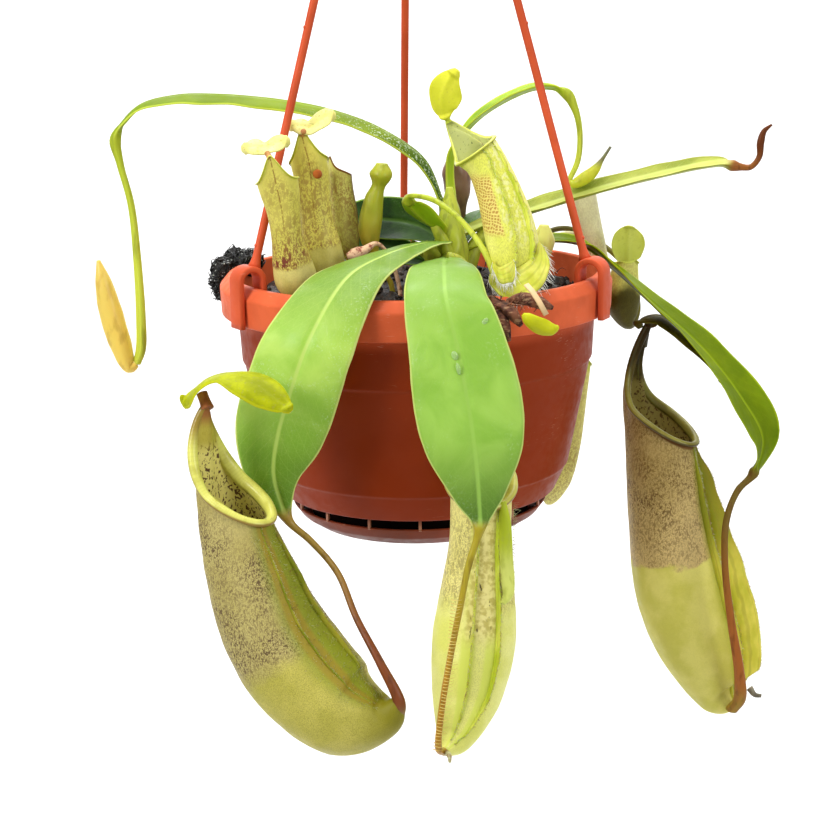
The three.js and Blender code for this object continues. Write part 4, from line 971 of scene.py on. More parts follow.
def trap_lip(trap, mouth):
    """The rolled, finely ribbed lip that runs round the mouth."""
    _, _, way, forward, side, _ = mouth
    angles = turns(LIP_SIDES)
    curve = trap_ring(trap, mouth, angles)
    ahead = np.roll(curve, -1, 0) - np.roll(curve, 1, 0)
    ahead /= np.linalg.norm(ahead, axis=1)[:, None]
    rings = []
    for point, on, angle in zip(curve, ahead, angles):
        out = forward * math.cos(angle) + side * math.sin(angle)
        out = out - on * np.dot(out, on)
        out /= np.linalg.norm(out)
        up = np.cross(on, out)
        up *= 1 if np.dot(up, way) > 0 else -1
        size = trap.lip * (1 - 0.45 * max(0.0, -math.cos(angle)) ** 6)
        rib = 1 + 0.008 * math.sin(angle * LIP_SIDES / 5)
        rib += 0.05 * math.sin(angle * 5 + 1) * math.sin(angle * 3)
        rings.append([point + out * a * size * rib + up * b * size * rib for a, b in LIP_SECTION])
    return skin(rings, wrapped=True)


def wing_ends(trap, share):
    """0 at either end of a wing and 1 between them."""
    return float(eased(0, trap.wing_fade, share) * eased(1, 0.82, share))


def trap_wings(trap, frames):
    """Two thin wings down the front, the hairs along their edges, and the short fuzz between them."""
    wings, hairs = [], []
    winged = [frame for frame in frames if trap.wing_foot < frame[0] < WING_TOP]
    for sign in (1, -1):
        angle = np.array([math.radians(WING_ANGLE * sign + trap.wing_turn)])
        rings = []
        for j, frame in enumerate(winged):
            place, _, way, forward, side, _ = frame
            bulge = math.sin(math.pi * place ** trap.wing_low)
            height = (trap.wing * (0.35 + 0.65 * bulge + 0.02 * math.sin(37 * place))
                      * (0.04 + 0.96 * wing_ends(trap, j / len(winged))) * (1 if sign > 0 else trap.near))
            sway = trap.waver * (math.sin(place * 45 + sign) + 0.6 * math.sin(place * 110))
            edge = [(-0.8, 0.5), (height * 0.5, 0.36), (height * 0.92, 0.26), (height, 0.1)]
            ring = []
            for out, half in edge + [(out, -half) for out, half in edge[::-1]]:
                lean = sway * max(0, out / height) ** 1.5 + sign * 0.12 * max(out, 0)
                ring.append(trap_ring(trap, frame, angle, out)[0] + side * (half + lean))
            rings.append(ring)
            for _ in range(trap.hairs):
                root = ring[3] * 0.5 + ring[4] * 0.5 + way * chance.uniform(-0.6, 0.6)
                aim = forward + side * chance.uniform(-0.7, 0.7) + way * chance.uniform(-0.8, 0.9)
                aim /= np.linalg.norm(aim)
                droop = np.array([0, 0, -chance.uniform(0.1, 0.7)])
                reach = chance.uniform(0.35, 1.0) * trap.hair_mm
                hairs.append(strand([root + aim * reach * t + droop * t * t for t in np.linspace(0, 1, 4)],
                                    0.075, 3))
        wings.append(skin(rings))
    for _ in range(trap.fuzz):
        frame = frames[int(chance.uniform(0.1, 0.93) * len(frames))]
        turn = math.radians(chance.uniform(-40, 40) + trap.wing_turn)
        root = trap_ring(trap, frame, np.array([turn]))[0]
        aim = frame[3] * math.cos(turn) + frame[4] * math.sin(turn) + frame[2] * chance.uniform(-0.6, 0.9)
        reach = chance.uniform(0.5, 1.3)
        hairs.append(strand([root + aim * reach * t for t in (0, 0.5, 1)], 0.06, 3))
    _, _, way, forward, side, _ = frames[-1]
    for _ in range(TUFT_HAIRS):
        turn = math.radians(chance.uniform(-12, 12) + trap.wing_turn)
        root = trap_ring(trap, frames[-2], np.array([turn]))[0]
        aim = forward * chance.uniform(0.4, 1) + side * chance.uniform(-0.5, 0.5)
        aim = aim + way * chance.uniform(-0.4, 0.9)
        hairs.append(strand([root + aim * chance.uniform(2, 4) * t for t in (0, 0.5, 1)], 0.12, 3))
    return wings, hairs


def banded(tree, base, bands):
    """A base with colours laid over it by height. A band is two heights in mm, a colour and a share."""
    for low, high, colour, share in bands:
        base = over(base, colour, height_of(tree), low, high, share)
    return base


def larger(first, second):
    return reckoned("MAXIMUM", first, second)


def fraction(value):
    """What is left of a value after its whole turns."""
    return reckoned("FRACT", value)


def pitcher_finish(name, lower, lower_deep, upper, fleck, boundary, inside=(190, 178, 104),
                   blotch=(66, 14, 24), amount=0.8, fade=0.0, blush=(150, 170, 60), edge=0.012,
                   line=(112, 60, 26), band=0.0, spine=0.0, grains=1.0, spots=0.7, speck=0.3, patch=None,
                   turn=0.0, front_from=0.34, neck=(), sparse=0.0, ridge=None, near_ridge=False, foot=None):
    """Pitcher skin: fine-grained below a boundary along its length, flecked above it, and blotched inside.
    blush is the green of the front, turn degrees round, and line is the colour under the lip.
    neck holds bands of colour by height. ridge is a colour, a width and a strength for the lines beside the
    wings, or beside the near one only. foot colours the lower tip, and patch adds a pitcher's own marks."""
    material = tissue(name, lower, 0.5, 0.22, (1.0, 0.9, 0.2), 0.08)
    tree = material.node_tree
    along, around = skin_place(tree)
    coarse = grain(tree, 0.85 * grains, 5, (1, 1, 0.55), 0.4)
    fine = grain(tree, 2.3 * grains, 3, (1, 1, 0.6))
    below = over(lower_deep, lower, grain(tree, 0.09, 4), 0.35, 0.68)
    below = over(below, darker(lower_deep, 0.7), fine, 0.44, 0.62, speck)
    flecks = larger(span(coarse, 0.5, 0.58), times(span(fine, 0.48, 0.56), 0.8))
    patches = span(grain(tree, 0.07, 3), 0.3, 0.6, 0.45, 1)
    fading = span(along, 0.97, 0.80, fade, 1)
    thick = plus(amount, span(along, boundary + 0.16, boundary, 0, band))
    lit = tuple(min(255, value + LIT_BY) for value in upper)
    above = blended(times(times(flecks, patches), times(fading, thick)),
                    over(upper, lit, grain(tree, 0.05, 3), 0.35, 0.65), fleck)
    wavy = plus(along, times(minus(grain(tree, 0.16, 3), 0.5), 0.05))
    base = over(below, above, wavy, boundary - edge, boundary + edge)
    spun = fraction(plus(around, 1 - turn / 360))
    front = unsigned(minus(spun, 0.5))
    green = over(blush, darker(blush, 0.72), fine, 0.44, 0.62, 0.4)
    base = over(base, green, front, front_from, front_from + 0.08, 0.85)
    if ridge:
        beside = unsigned(minus(spun, 0.953) if near_ridge else minus(front, 0.453))
        base = over(base, ridge[0], beside, ridge[1], ridge[1] * 0.5, ridge[2])
    if foot:
        base = over(base, foot, along, 0.26, 0.06, 0.9)
    if spine:
        crease = times(span(front, 0.011, 0.003, 0, spine), span(along, 0.5, 0.8))
        base = blended(times(crease, span(grain(tree, 0.8, 3), 0.36, 0.5)), base, (120, 62, 22))
    if patch:
        base = patch(tree, base, along, around)
    base = over(base, line, along, 0.976, 0.984)
    throat = over(inside, blotch, grain(tree, spots, 3, (1, 1, 0.7), 0.5), 0.55 + sparse, 0.59 + sparse,
                  0.92)
    coat(material, "Base Color", banded(tree, blended(fact(tree, "inside"), base, throat), neck))
    coat(material, "Roughness", span(grain(tree, 0.2, 3), 0.3, 0.7, 0.42, 0.6))
    bumped(material, plus(grain(tree, 0.9, 5), times(fine, 0.6)), 0.4, 0.3)
    return material


def lip_finish(name, pale, deep, rim=(124, 78, 30), neck=()):
    """Glossy lip with faint fine stripes across it and a darker outer edge, partly its own brown outline and
    partly painted shade under the roll. neck holds bands of colour.
    """
    material = shader(name, pale, 0.3, Coat_Weight=0.2, Coat_Roughness=0.15)
    tree = material.node_tree
    along, around = skin_place(tree)
    base = over(pale, deep, sine(times(along, 2 * math.pi * LIP_SIDES / 5)), 0.1, 0.95, 0.12)
    base = over(base, deep, grain(tree, 0.14, 4), 0.42, 0.66, 0.6)
    # The outer, under side of the roll is darkened, partly by its own brown and partly as painted shade.
    base = over(base, rim, unsigned(minus(around, 0.53)), 0.15, 0.09, 0.8)
    coat(material, "Base Color", banded(tree, base, neck))
    return material


def lid_finish(name, pale, deep, under, speck=(150, 150, 60)):
    """A lid's thick tissue, with a net of veins, small specks and another colour below and at its edge."""
    material = tissue(name, pale, 0.5, 0.1, (1.0, 1.0, 0.1))
    tree = material.node_tree
    base = over(deep, pale, grain(tree, 0.14, 4), 0.35, 0.68)
    base = over(base, deep, net(tree, 0.3), 0.1, 0.0, 0.25)
    base = over(base, speck, grain(tree, 0.9, 3), 0.6, 0.66, 0.5)
    base = over(base, under, skin_place(tree)[1], 0.99, 1.01, 0.7)
    coat(material, "Base Color", over(base, under, fact(tree, "edge_mm"), 0.7, 0.2, 0.5))
    bumped(material, grain(tree, 0.6, 4), 0.5, 0.3)
    return material


def wing_finish(name, pale, deep, lines=0.0, bands=()):
    """Thin tissue in two greens. lines is how strongly ribs show along it. bands are colours by height."""
    material = tissue(name, pale, 0.45, 0.2)
    tree = material.node_tree
    base = over(deep, pale, grain(tree, 0.2, 4, (1, 1, 0.5)), 0.35, 0.66)
    base = banded(tree, base, bands)
    if lines:
        rib = sine(plus(times(skin_place(tree)[1], 50.0), times(grain(tree, 0.1, 2), 5.0)))
        base = over(base, darker(deep, 0.72), rib, 0.3, 0.95, lines)
    coat(material, "Base Color", base)
    bumped(material, grain(tree, 0.8, 4), 0.4, 0.25)
    return material


hair_finish = shader("pitcher_hair", (196, 196, 128), 0.5)
coat(hair_finish, "Base Color",
     over((214, 216, 160), (150, 118, 72), grain(hair_finish.node_tree, 0.3, 2), 0.4, 0.6))
lid_yellow = lid_finish("lid_yellow", (170, 176, 6), (136, 144, 4), (200, 202, 30))
lid_pale = lid_finish("lid_pale", (236, 232, 156), (222, 214, 126), (222, 218, 136))
# The right pitcher's olive lid is painted dark as painted shade under the drooping leaf.
lid_olive_painted_shade = lid_finish("lid_olive_painted_shade", (98, 92, 24), (66, 58, 14), (84, 76, 20), (52, 42, 14))
lip_yellow = lip_finish(
    "lip_yellow", (218, 216, 104), (170, 162, 52), neck=[(-46, -36, (150, 120, 40), 0.9)])
lip_olive = lip_finish(
    "lip_olive", (158, 152, 66), (110, 98, 34), (64, 46, 16), [(-50, -40, (60, 48, 12), 0.9)])
neck_red = wing_finish("neck_red", (176, 116, 62), (140, 70, 44))


def pitcher(name, skin_look, lip_look=None, wing_look=None, lid_look=None, joint_look=neck_red, lid=None,
            **shape):
    """A whole pitcher: body, lip, wings with their fringe, and the lid on its joint. shape holds path, as
    rows of x, y, z, radius from foot to mouth, front, the way that it faces, and what is unusual in it."""
    trap = SimpleNamespace(**{**USUAL_TRAP, **shape})
    frames = trap_frames(trap)
    finished(name + "_body", trap_body(trap, frames), skin_look, "pitcher", name)
    if lip_look:
        finished(name + "_lip", trap_lip(trap, frames[-1]), lip_look, "lime_stem")
    if wing_look:
        wings, hairs = trap_wings(trap, frames)
        finished(name + "_wings", wings, wing_look, "pitcher")
        finished(name + "_fringe", hairs, hair_finish, "pitcher")
    if lid_look:
        lid = {**USUAL_LID, **lid}
        seat = np.array(lid.pop("seat"), float)
        neck = trap_ring(trap, frames[-1], np.array([math.pi]), -0.4, -1.5)[0]
        joint = stem([(*neck, trap.joint * 1.2), (*(neck + seat) / 2, trap.joint), (*seat, trap.joint)], 16,
                     16)
        finished(name + "_joint", joint, joint_look, "pitcher")
        finished(name + "_lid", leaf_mesh(**lid), lid_look, "lime_stem")


# Left pitcher
# The largest trap, beige and purple-grey above and olive below. Its yellow lip slants steeply, with dark
# blotches inside, and a thick lime lid stands over it on a reddish joint.
left_skin = pitcher_finish(
    "pitcher_left_skin", (200, 190, 90), (184, 176, 74), (184, 170, 98), (102, 82, 54), 0.49, amount=1,
    fade=0.35, blush=(134, 146, 20), edge=0.03, grains=2.1, spots=0.95, inside=(224, 212, 120), speck=0.6,
    neck=[(-48, -42, (178, 164, 60), 0.95), (-39, -33, (150, 92, 46), 0.95)],
    ridge=((160, 132, 36), 0.036, 0.7), near_ridge=True, foot=(120, 114, 8), front_from=0.372)
wing_deep = wing_finish("wing_deep", (156, 152, 40), (124, 134, 24))
pitcher("pitcher_left", left_skin, lip_yellow, wing_deep, lid_yellow,
        path=[(*LEFT_TIP, 1.6), (-12.5, -104, -135, 7.5), (-26, -98.5, -135.5, 16),
              (-41, -93, -123.5, 18.5), (-51.4, -90.5, -107, 17.7), (-57.6, -90, -88, 16.4),
              (-61.4, -90, -72, 14.8), (-63.5, -90, -59.4, 13.3)],
        front=(0.835, -0.55, 0), dip=0.81, neck=1.44, neck_power=2, pinch=0.52, pinch_power=4.4,
        narrow=0.28, lean=0.3, joint=1.9, lip=1.75, wing=1.9, near=0.4, wing_foot=0.14, wing_fade=0.4,
        cavity=0.3, wall=1, hair_mm=1.1, hairs=2, fuzz=900,
        lid=dict(seed=12, seat=(-71.8, -86, -27),
                 rows=[(-78.6, -84, -30, 1), (-77.6, -84.4, -29.4, 4.4), (-75.6, -85, -27.4, 6.8),
                       (-70.5, -87, -22.6, 7.6), (-63, -90, -19.8, 7), (-56, -93.5, -20.6, 8),
                       (-48.5, -97, -24.6, 7), (-43.4, -99, -28.6, 3.6), (-41.4, -99.6, -30.6, 1)],
                 sides=[(0.3, 0.85, 0.5), (0.3, 0.85, 0.5), (0.35, 0.9, 0.2), (0.35, 0.93, 0),
                        (0.3, 0.88, 0.3), (0.3, 0.8, 0.6), (0.3, 0.8, 0.6)],
                 fold=-0.12))

# Centre pitcher
# It hangs behind the tip of the front leaf, cream and grey-brown above and lime below.
# Its tendril runs down its front, and the wing beside it is ragged like a ladder.


def creamy(tree, base, along, around):
    """Pale mottling with a few dark dashes, high on the front."""
    middle = unsigned(minus(fraction(plus(around, 0.5)), 0.5))
    high = times(span(along, 0.42, 0.5), span(middle, 0.1, 0.04))
    cream = over((236, 224, 146), (196, 180, 96), grain(tree, 0.5, 4), 0.4, 0.62)
    cream = over(cream, (74, 54, 30), grain(tree, 0.7, 3, (1, 1, 0.35)), 0.63, 0.68)
    return blended(times(high, 0.9), base, cream)


centre_skin = pitcher_finish(
    "pitcher_centre_skin", (242, 242, 146), (226, 228, 114), (228, 218, 128), (126, 108, 58), 0.55,
    amount=0.7, fade=0.8, blush=(232, 232, 132), edge=0.05, speck=0.14, front_from=0.44, grains=1.3,
    patch=creamy, ridge=((218, 228, 98), 0.034, 0.85))
wing_lime = wing_finish("wing_lime", (216, 224, 90), (184, 200, 50), 0.3)
pitcher("pitcher_centre", centre_skin, lip_yellow, wing_lime, lid_yellow,
        path=[(*CENTRE_TIP, 1.5), (10.5, -92, -149, 6.5), (15, -83, -138, 12), (18, -79, -119, 14.6),
              (19.6, -77.5, -100, 12.9), (20.5, -77, -84, 11.2), (21, -76, -71, 11.4),
              (21, -75.5, -61, 12)],
        front=(0.1, -1, 0), dip=0.6, neck=0.5, narrow=0.1, lip=1.7, wing=2.4, cavity=0.3, wall=0.9,
        hair_mm=1.6, wing_turn=6,
        lid=dict(seed=14, seat=(20.6, -66, -44.6),
                 rows=[(21, -63.4, -46.6, 1.6), (21, -66.5, -44, 5), (21, -73, -39.5, 8), (21, -81, -41, 7),
                       (21, -86, -45, 2.2)],
                 sides=[(1, 0, 0), (1, 0, 0)], fold=-0.2))
RUNG_COUNT = 46
WHISKER_COUNT = 90

rungs = []
for share in np.linspace(0, 1, RUNG_COUNT):
    bow = (0.9 * math.sin(3 * share) - 1.2, -1.2 * math.sin(math.pi * share), 0)
    start = np.array([11.2, -102.6, -95.0]) + np.array([-7.1, -5.2, -51.0]) * share + bow
    reach = np.array([3.4 + chance.uniform(-0.4, 0.7), chance.uniform(0.2, 0.9), chance.uniform(-0.8, 0.2)])
    rungs.append(strand([start + reach * t + np.array([0, -0.9, 0]) * math.sin(math.pi * t)
                         for t in np.linspace(0, 1, 5)], 0.17, 4))
rung_look = wing_finish("rung_brown", (236, 216, 124), (206, 170, 80))
finished("pitcher_centre_ladder", rungs, rung_look, "pitcher")

flap = leaf_mesh([(28, -86.6, -66, 1.2), (28.7, -87.6, -74, 2.2), (29, -88.2, -84, 2.4),
                  (29.4, -88.8, -92, 2.6), (29.4, -90, -98, 1.9), (27.6, -91.4, -100.6, 0.9)],
                 [(1, 0.55, 0), (1, 0.5, 0), (1, 0.4, 0)], fold=0.2, ripple=0.2, waves=4, curl=0.3,
                 steps=80, groove=0.3, seed=5, thick=0.4)
flap_green = shader("flap_green", (190, 204, 50), 0.5, 0.15)
flap_colour = over((184, 200, 44), (214, 222, 112), height_of(flap_green.node_tree), -78, -90)
flap_grain = grain(flap_green.node_tree, 0.5, 4, (1, 1, 0.5))
coat(flap_green, "Base Color", over(flap_colour, (176, 186, 70), flap_grain, 0.45, 0.65, 0.5))
finished("pitcher_centre_flap", flap, flap_green, "pitcher")

whiskers = []
for share in np.linspace(0.02, 1, WHISKER_COUNT):
    root = np.array([31.4 - 1.6 * share ** 3, -86.4 - 2.6 * share, -66 - 35 * share])
    aim = np.array([chance.uniform(0.5, 1), chance.uniform(-0.6, 0.3), chance.uniform(-0.7, 0.8)])
    whiskers.append(strand([root + aim * chance.uniform(1.2, 3.2) * t for t in (0, 0.5, 1)], 0.09, 3))
grey_tip = stem([(*CENTRE_TIP, 1.2), (8.6, -104.4, -150, 0.9), (8.8, -104.6, -152.4, 0.5)], 10, 12)
finished("pitcher_centre_whiskers", [*whiskers, grey_tip], hair_finish, "pitcher")

# Right pitcher
# Mottled above a sharp line and plain yellow-green below, with one broad fringed wing.
# Its dark brown-green neck bends up behind the drooping leaf and carries an olive lid, painted dark as
# painted shade under that leaf.
neck_dark = wing_finish("neck_dark", (84, 68, 22), (58, 46, 14))
right_skin = pitcher_finish(
    "pitcher_right_skin", (222, 214, 112), (204, 198, 86), (206, 180, 112), (104, 78, 44), 0.584,
    amount=0.95, band=-0.4, fade=0.8, blush=(156, 166, 34), edge=0.006, speck=0.12, grains=1.7, spots=0.95,
    turn=20, front_from=0.4,
    neck=[(-112, -56, (122, 100, 34), 0.42), (-51, -46, (92, 80, 28), 0.95), (-43, -36, (66, 52, 16), 0.95)])
wing_fresh = wing_finish(
    "wing_fresh", (228, 222, 90), (202, 204, 64), 0.35, [(-124, -100, (142, 150, 34), 0.9)])
pitcher("pitcher_right", right_skin, lip_olive, wing_fresh, lid_olive_painted_shade,
        path=[(*RIGHT_TIP, 1.6), (117, -4, -171.4, 8), (109, 2, -153, 15.1), (101.5, 6, -130, 17.2),
              (97.5, 9, -105, 15.6), (95.2, 11, -81, 14.3), (93.3, 13, -61, 13.9)],
        front=(0.804, -0.595, 0), dip=0.8, neck=1.89, neck_power=4.7, pinch=0.57, pinch_power=4.6,
        narrow=0.25, lean=0.44, lean_power=2.2, squeeze=0.3, tip_from=0.84, joint=2.2, joint_look=neck_dark,
        lip=1.35, wing=9.8, near=0.4, wing_low=0.6, wing_turn=20, wing_foot=0.0, wing_fade=0.07,
        cavity=0.33, wall=1, hair_mm=1.3,
        lid=dict(seed=13, seat=(90, 15, -23),
                 rows=[(84.4, 16, -26.5, 1.4), (87, 16.6, -23.6, 4), (93, 17, -22.6, 6.4),
                       (100.4, 16, -26.6, 6.6), (108, 14, -33, 6), (115.4, 12, -42, 4.6),
                       (119, 11, -48.6, 1.2)],
                 sides=[(0.2, 1, 0.1), (0.2, 1, 0.1)], fold=-0.2))
spur = stem([(127.5, -8, -166, 1.4), (129.5, -9, -168.5, 1.0), (132, -9.5, -168.8, 0.7)], 12, 20)
finished("pitcher_right_spur", spur, wing_finish("spur_grey", (150, 144, 120), (104, 98, 82)), "pitcher")

# Upper pitcher
# A young yellow-lime trap that stands among the leaves, open towards the light, with an upright lid.
# A scraped patch of brown cross-hatching marks its left side, and crumpled white-haired wings flare below.
HATCH_LEFT, HATCH_RIGHT = 22.4, 29.6


def scraped(tree, base, along, around):
    """A brown cross-hatched scrape on the left of the trap, and whitish streaks down its front."""
    height = height_of(tree)
    across = plus(node(tree, "SeparateXYZ", {}, spot(tree)).outputs["X"], times(minus(height, 24.0), 0.26))
    across = plus(across, times(grain(tree, 0.3, 4), 1.8))
    within = times(span(across, HATCH_LEFT - 0.6, HATCH_LEFT + 0.4),
                   span(across, HATCH_RIGHT + 0.4, HATCH_RIGHT - 0.6))
    within = times(within, times(span(height, 18, 21), span(height, 41, 37)))
    wobble = times(grain(tree, 0.3, 4), 16.0)
    rising = sine(plus(plus(times(along, 330.0), times(around, 120.0)), wobble))
    falling = sine(plus(minus(times(around, 260.0), times(along, 170.0)), wobble))
    lines = larger(span(rising, 0.0, 0.9), span(falling, 0.2, 1.0))
    milky = times(span(grain(tree, 0.8, 4, (1, 1, 0.5)), 0.46, 0.6),
                  span(across, HATCH_RIGHT, HATCH_RIGHT + 2, 0, 0.6))
    base = blended(times(milky, span(height, 12, 22)), base, (236, 234, 176))
    return blended(times(within, 0.85), base, blended(lines, (178, 122, 50), (232, 212, 116)))


upper_skin = pitcher_finish(
    "pitcher_upper_skin", (232, 230, 100), (210, 212, 66), (232, 230, 116), (170, 160, 84), 0.36,
    inside=(174, 180, 102), blotch=(60, 84, 50), amount=0.4, fade=0.3, blush=(220, 222, 86), edge=0.05,
    line=(200, 206, 70), spots=1.5, speck=0.1, patch=scraped, sparse=0.1)
lip_lime = lip_finish("lip_lime", (220, 222, 96), (184, 192, 50), (160, 160, 50))
lid_lime = lid_finish("lid_lime", (228, 226, 70), (190, 196, 34), (214, 214, 60), (150, 140, 60))
pitcher("pitcher_upper", upper_skin, lip_lime, wing_lime, lid_lime,
        path=[(*UPPER_TIP, 1.4), (31, -51, 1.6, 4.8), (33.4, -48.5, 7, 8.4), (33.8, -46, 14, 9.2),
              (32, -43, 24, 8.8), (29, -40, 34, 7.8), (25, -37, 43, 7.2), (21.5, -34.5, 47.1, 8)],
        front=(0.24, -0.97, 0), dip=0.51, neck=1.63, neck_power=4.7, pinch=0.32, pinch_power=4.9, lean=0.13,
        lip=0.8, wing=1.8, wing_turn=22, cavity=0.35, wall=0.7, hair_mm=1.6, hairs=2, sides=60, waver=0.3,
        joint=1, joint_look=wing_lime,
        lid=dict(seed=13, seat=(11.6, -24.4, 58),
                 rows=[(11.7, -24.6, 57.4, 1.4), (10.6, -25.6, 61, 5), (11, -27, 66, 6.6),
                       (12.8, -28.4, 70.6, 5), (15.6, -29.4, 74.6, 1.2)],
                 sides=[(0.85, -0.5, 0), (0.85, -0.5, 0)], fold=0.25))


def frill(inner, outer, waves, swing, seed):
    """A crumpled flap between an inner and an outer line of points, and the hairs along its outer edge."""
    steps = np.linspace(0, 1, 90)
    inner_line, _, _ = flow([(*point, 1) for point in inner], steps)
    outer_line, outer_ways, _ = flow([(*point, 1) for point in outer], steps)
    rings, hairs = [], []
    for t, low, high, way in zip(steps, inner_line, outer_line, outer_ways):
        out = high - low
        normal = np.cross(way, out)
        normal /= np.linalg.norm(normal)
        ends = math.sin(math.pi * t) ** 0.4
        ring = []
        for s, half in zip([*np.linspace(0, 1, 8), *np.linspace(1, 0, 8)], [0.22] * 8 + [-0.22] * 8):
            crease = swing * s ** 1.3 * math.sin(waves * 2 * math.pi * t + seed)
            crease += 0.6 * s * noise.noise(Vector((t * 9, s * 2, seed)))
            ring.append(low + out * s * ends + normal * (crease + half * (1 - 0.6 * s)))
        rings.append(ring)
        reach = chance.uniform(1.0, 4.2)
        aim = out / np.linalg.norm(out) + way * chance.uniform(-0.4, 0.4)
        aim = aim + normal * chance.uniform(-0.6, 0.6)
        hairs.append(strand([ring[7] + aim * reach * s for s in (0, 0.5, 1)], 0.11, 3))
    return skin(rings), hairs


large_flap, large_hairs = frill(
    [(25.5, -53, 6), (28.6, -56.4, 6.5), (33, -57.4, 8), (37.4, -56.4, 10), (41, -53.4, 13),
     (42.6, -50.6, 17)],
    [(23.6, -59, 2.4), (28.4, -64, -1.6), (34.6, -65.4, -2), (41, -63.6, 1.4), (47, -59, 7),
     (48.4, -53, 14)], 3.2, 0.9, 1)
small_flap, small_hairs = frill(
    [(26.6, -54.6, 11), (28.6, -56, 9), (31, -57, 10), (33.6, -57.4, 11.6)],
    [(25.4, -58, 7.4), (28.6, -60.6, 4.4), (32.4, -61.4, 4), (36, -61.4, 6)], 2.5, 0.7, 2)
frill_green = wing_finish("frill_green", (214, 212, 96), (186, 190, 54), 0.3)
finished("pitcher_upper_frill", [large_flap, small_flap], frill_green, "pitcher")
finished("pitcher_upper_hairs", large_hairs + small_hairs, shader("white_hair", (240, 240, 226), 0.5),
         "pitcher")

# Small pitchers by the rim
# Two yellow-olive traps stand in the soil with their backs to the front. Each has a pale lid, a narrow neck,
# a crease down the back and a purple-brown band above its olive bulb.
rim_skin = pitcher_finish(
    "pitcher_rim_skin", (222, 214, 126), (202, 192, 96), (206, 196, 86), (122, 62, 44), 0.5, amount=0.55,
    fade=0.1, blush=(190, 192, 74), edge=0.015, band=0.55, spine=0.7, line=(214, 210, 74), speck=0.15)
neck_tan = wing_finish("neck_tan", (196, 150, 84), (166, 110, 60))
RIM_TRAP = dict(front=(0.05, 1, 0), pinch=0.3, lip=0.5, cavity=0.45, wall=0.6, sides=60, joint=1,
                joint_look=neck_tan)
pitcher("pitcher_rim_front", rim_skin, lip_lime, None, lid_pale,
        path=[(-34, -27, -17, 1.2), (-34, -27, -7, 1.2), (-39, -32.5, -5.6, 2.8), (-42, -36, 1.5, 7.3),
              (-43.6, -37.6, 9, 7), (-45, -39.4, 18, 5.5), (-45.8, -40.8, 27, 5.8), (-46.6, -42.2, 33, 6.7),
              (-47.5, -43.5, 38.6, 7.2)],
        dip=0.35, neck=1.15, **RIM_TRAP,
        lid=dict(seed=17, seat=(-50.4, -47.6, 48.6),
                 rows=[(-59.6, -43, 49.6, 1), (-58, -43, 49.8, 2.6), (-55, -43, 50.2, 4),
                       (-51.6, -43, 49.6, 3.4), (-48, -43, 51, 4.2), (-45, -43, 51.8, 3.4),
                       (-42.6, -43, 52, 1)],
                 sides=[(0.1, 0.8, 0.6), (0.1, 0.8, 0.6)], fold=0.1, curl=0.05))
pitcher("pitcher_rim_rear", rim_skin, lip_lime, None, lid_pale,
        path=[(-23, -17, -17, 1.2), (-23, -17, -6, 1.2), (-29, -18.5, -3.6, 2.8), (-32.4, -20, 4, 7),
              (-33.8, -20, 12, 7), (-35.2, -20, 20, 6), (-36, -20, 28, 6), (-36.6, -20, 36, 6.4),
              (-37.7, -20, 43, 6.7)],
        dip=0.4, neck=1.3, **RIM_TRAP,
        lid=dict(seed=16, seat=(-38.8, -26.4, 54),
                 rows=[(-44.8, -23, 56, 1), (-43, -23, 55.8, 2.6), (-40, -23, 55.4, 4),
                       (-37, -23, 54.8, 3.6), (-33.4, -23, 57, 4.6), (-30, -23, 58.8, 3.8),
                       (-27.4, -23, 59, 1)],
                 sides=[(-0.1, 0.8, 0.6), (-0.2, 0.8, 0.6)], fold=0.1, curl=0.05))
scab = skin([[(-34.4 + x, -26.5 + depth, 38.8 + z) for x, z in circle(radius, 14)]
             for radius, depth in ((0.2, -0.45), (1.0, -0.4), (1.5, -0.15), (1.7, 0.3))])
finished("pitcher_rim_scab", scab, wing_finish("scab_orange", (196, 108, 40), (150, 70, 26)), "dry_plant")

# Withered and half-grown pitchers
# A torn brown trap stands behind the first two, and pale ones lean at the right and behind the pot.
# They are thin, plain and lightly speckled.
torn_skin = pitcher_finish(
    "pitcher_torn_skin", (176, 190, 70), (146, 162, 46), (210, 204, 104), (150, 92, 52), 0.35, amount=0.8,
    fade=0.5, blush=(140, 86, 40), line=(120, 74, 30))
grey_skin = pitcher_finish(
    "pitcher_grey_skin", (216, 212, 164), (200, 196, 150), (222, 216, 172), (170, 150, 110), 0.4,
    amount=0.5, fade=0.5, blush=(210, 210, 150), line=(200, 204, 110))
SMALL_TRAP = dict(cavity=0.85, wall=0.5, sides=40, steps=110)
pale_skin = pitcher_finish(
    "pitcher_pale_skin", (206, 204, 96), (186, 188, 70), (214, 208, 116), (150, 112, 64), 0.4, amount=0.6,
    fade=0.5, blush=(200, 206, 84), line=(200, 204, 84))
pitcher("pitcher_torn", torn_skin,
        path=[(-20, -8, -17, 1), (-20, -8, -6, 1), (-23, -7, 3, 1.6), (-25, -6, 12, 4.4),
              (-26, -5, 22, 4.8), (-27, -5, 31, 4.6), (-27.4, -5, 38, 4.4)],
        front=(0.9, 0.4, 0), dip=0.5, neck=0.7, pinch=0.2, cavity=0.55, wall=0.5, sides=48, steps=70)
shaded_skin = pitcher_finish(
    "pitcher_shaded_skin", (104, 98, 26), (82, 76, 18), (210, 210, 106), (150, 130, 60), 0.86, amount=0.5,
    fade=0.6, blush=(176, 184, 70), line=(180, 184, 70), edge=0.03)
lid_soft = lid_finish("lid_soft", (206, 210, 100), (176, 184, 70), (196, 202, 92), (120, 120, 50))
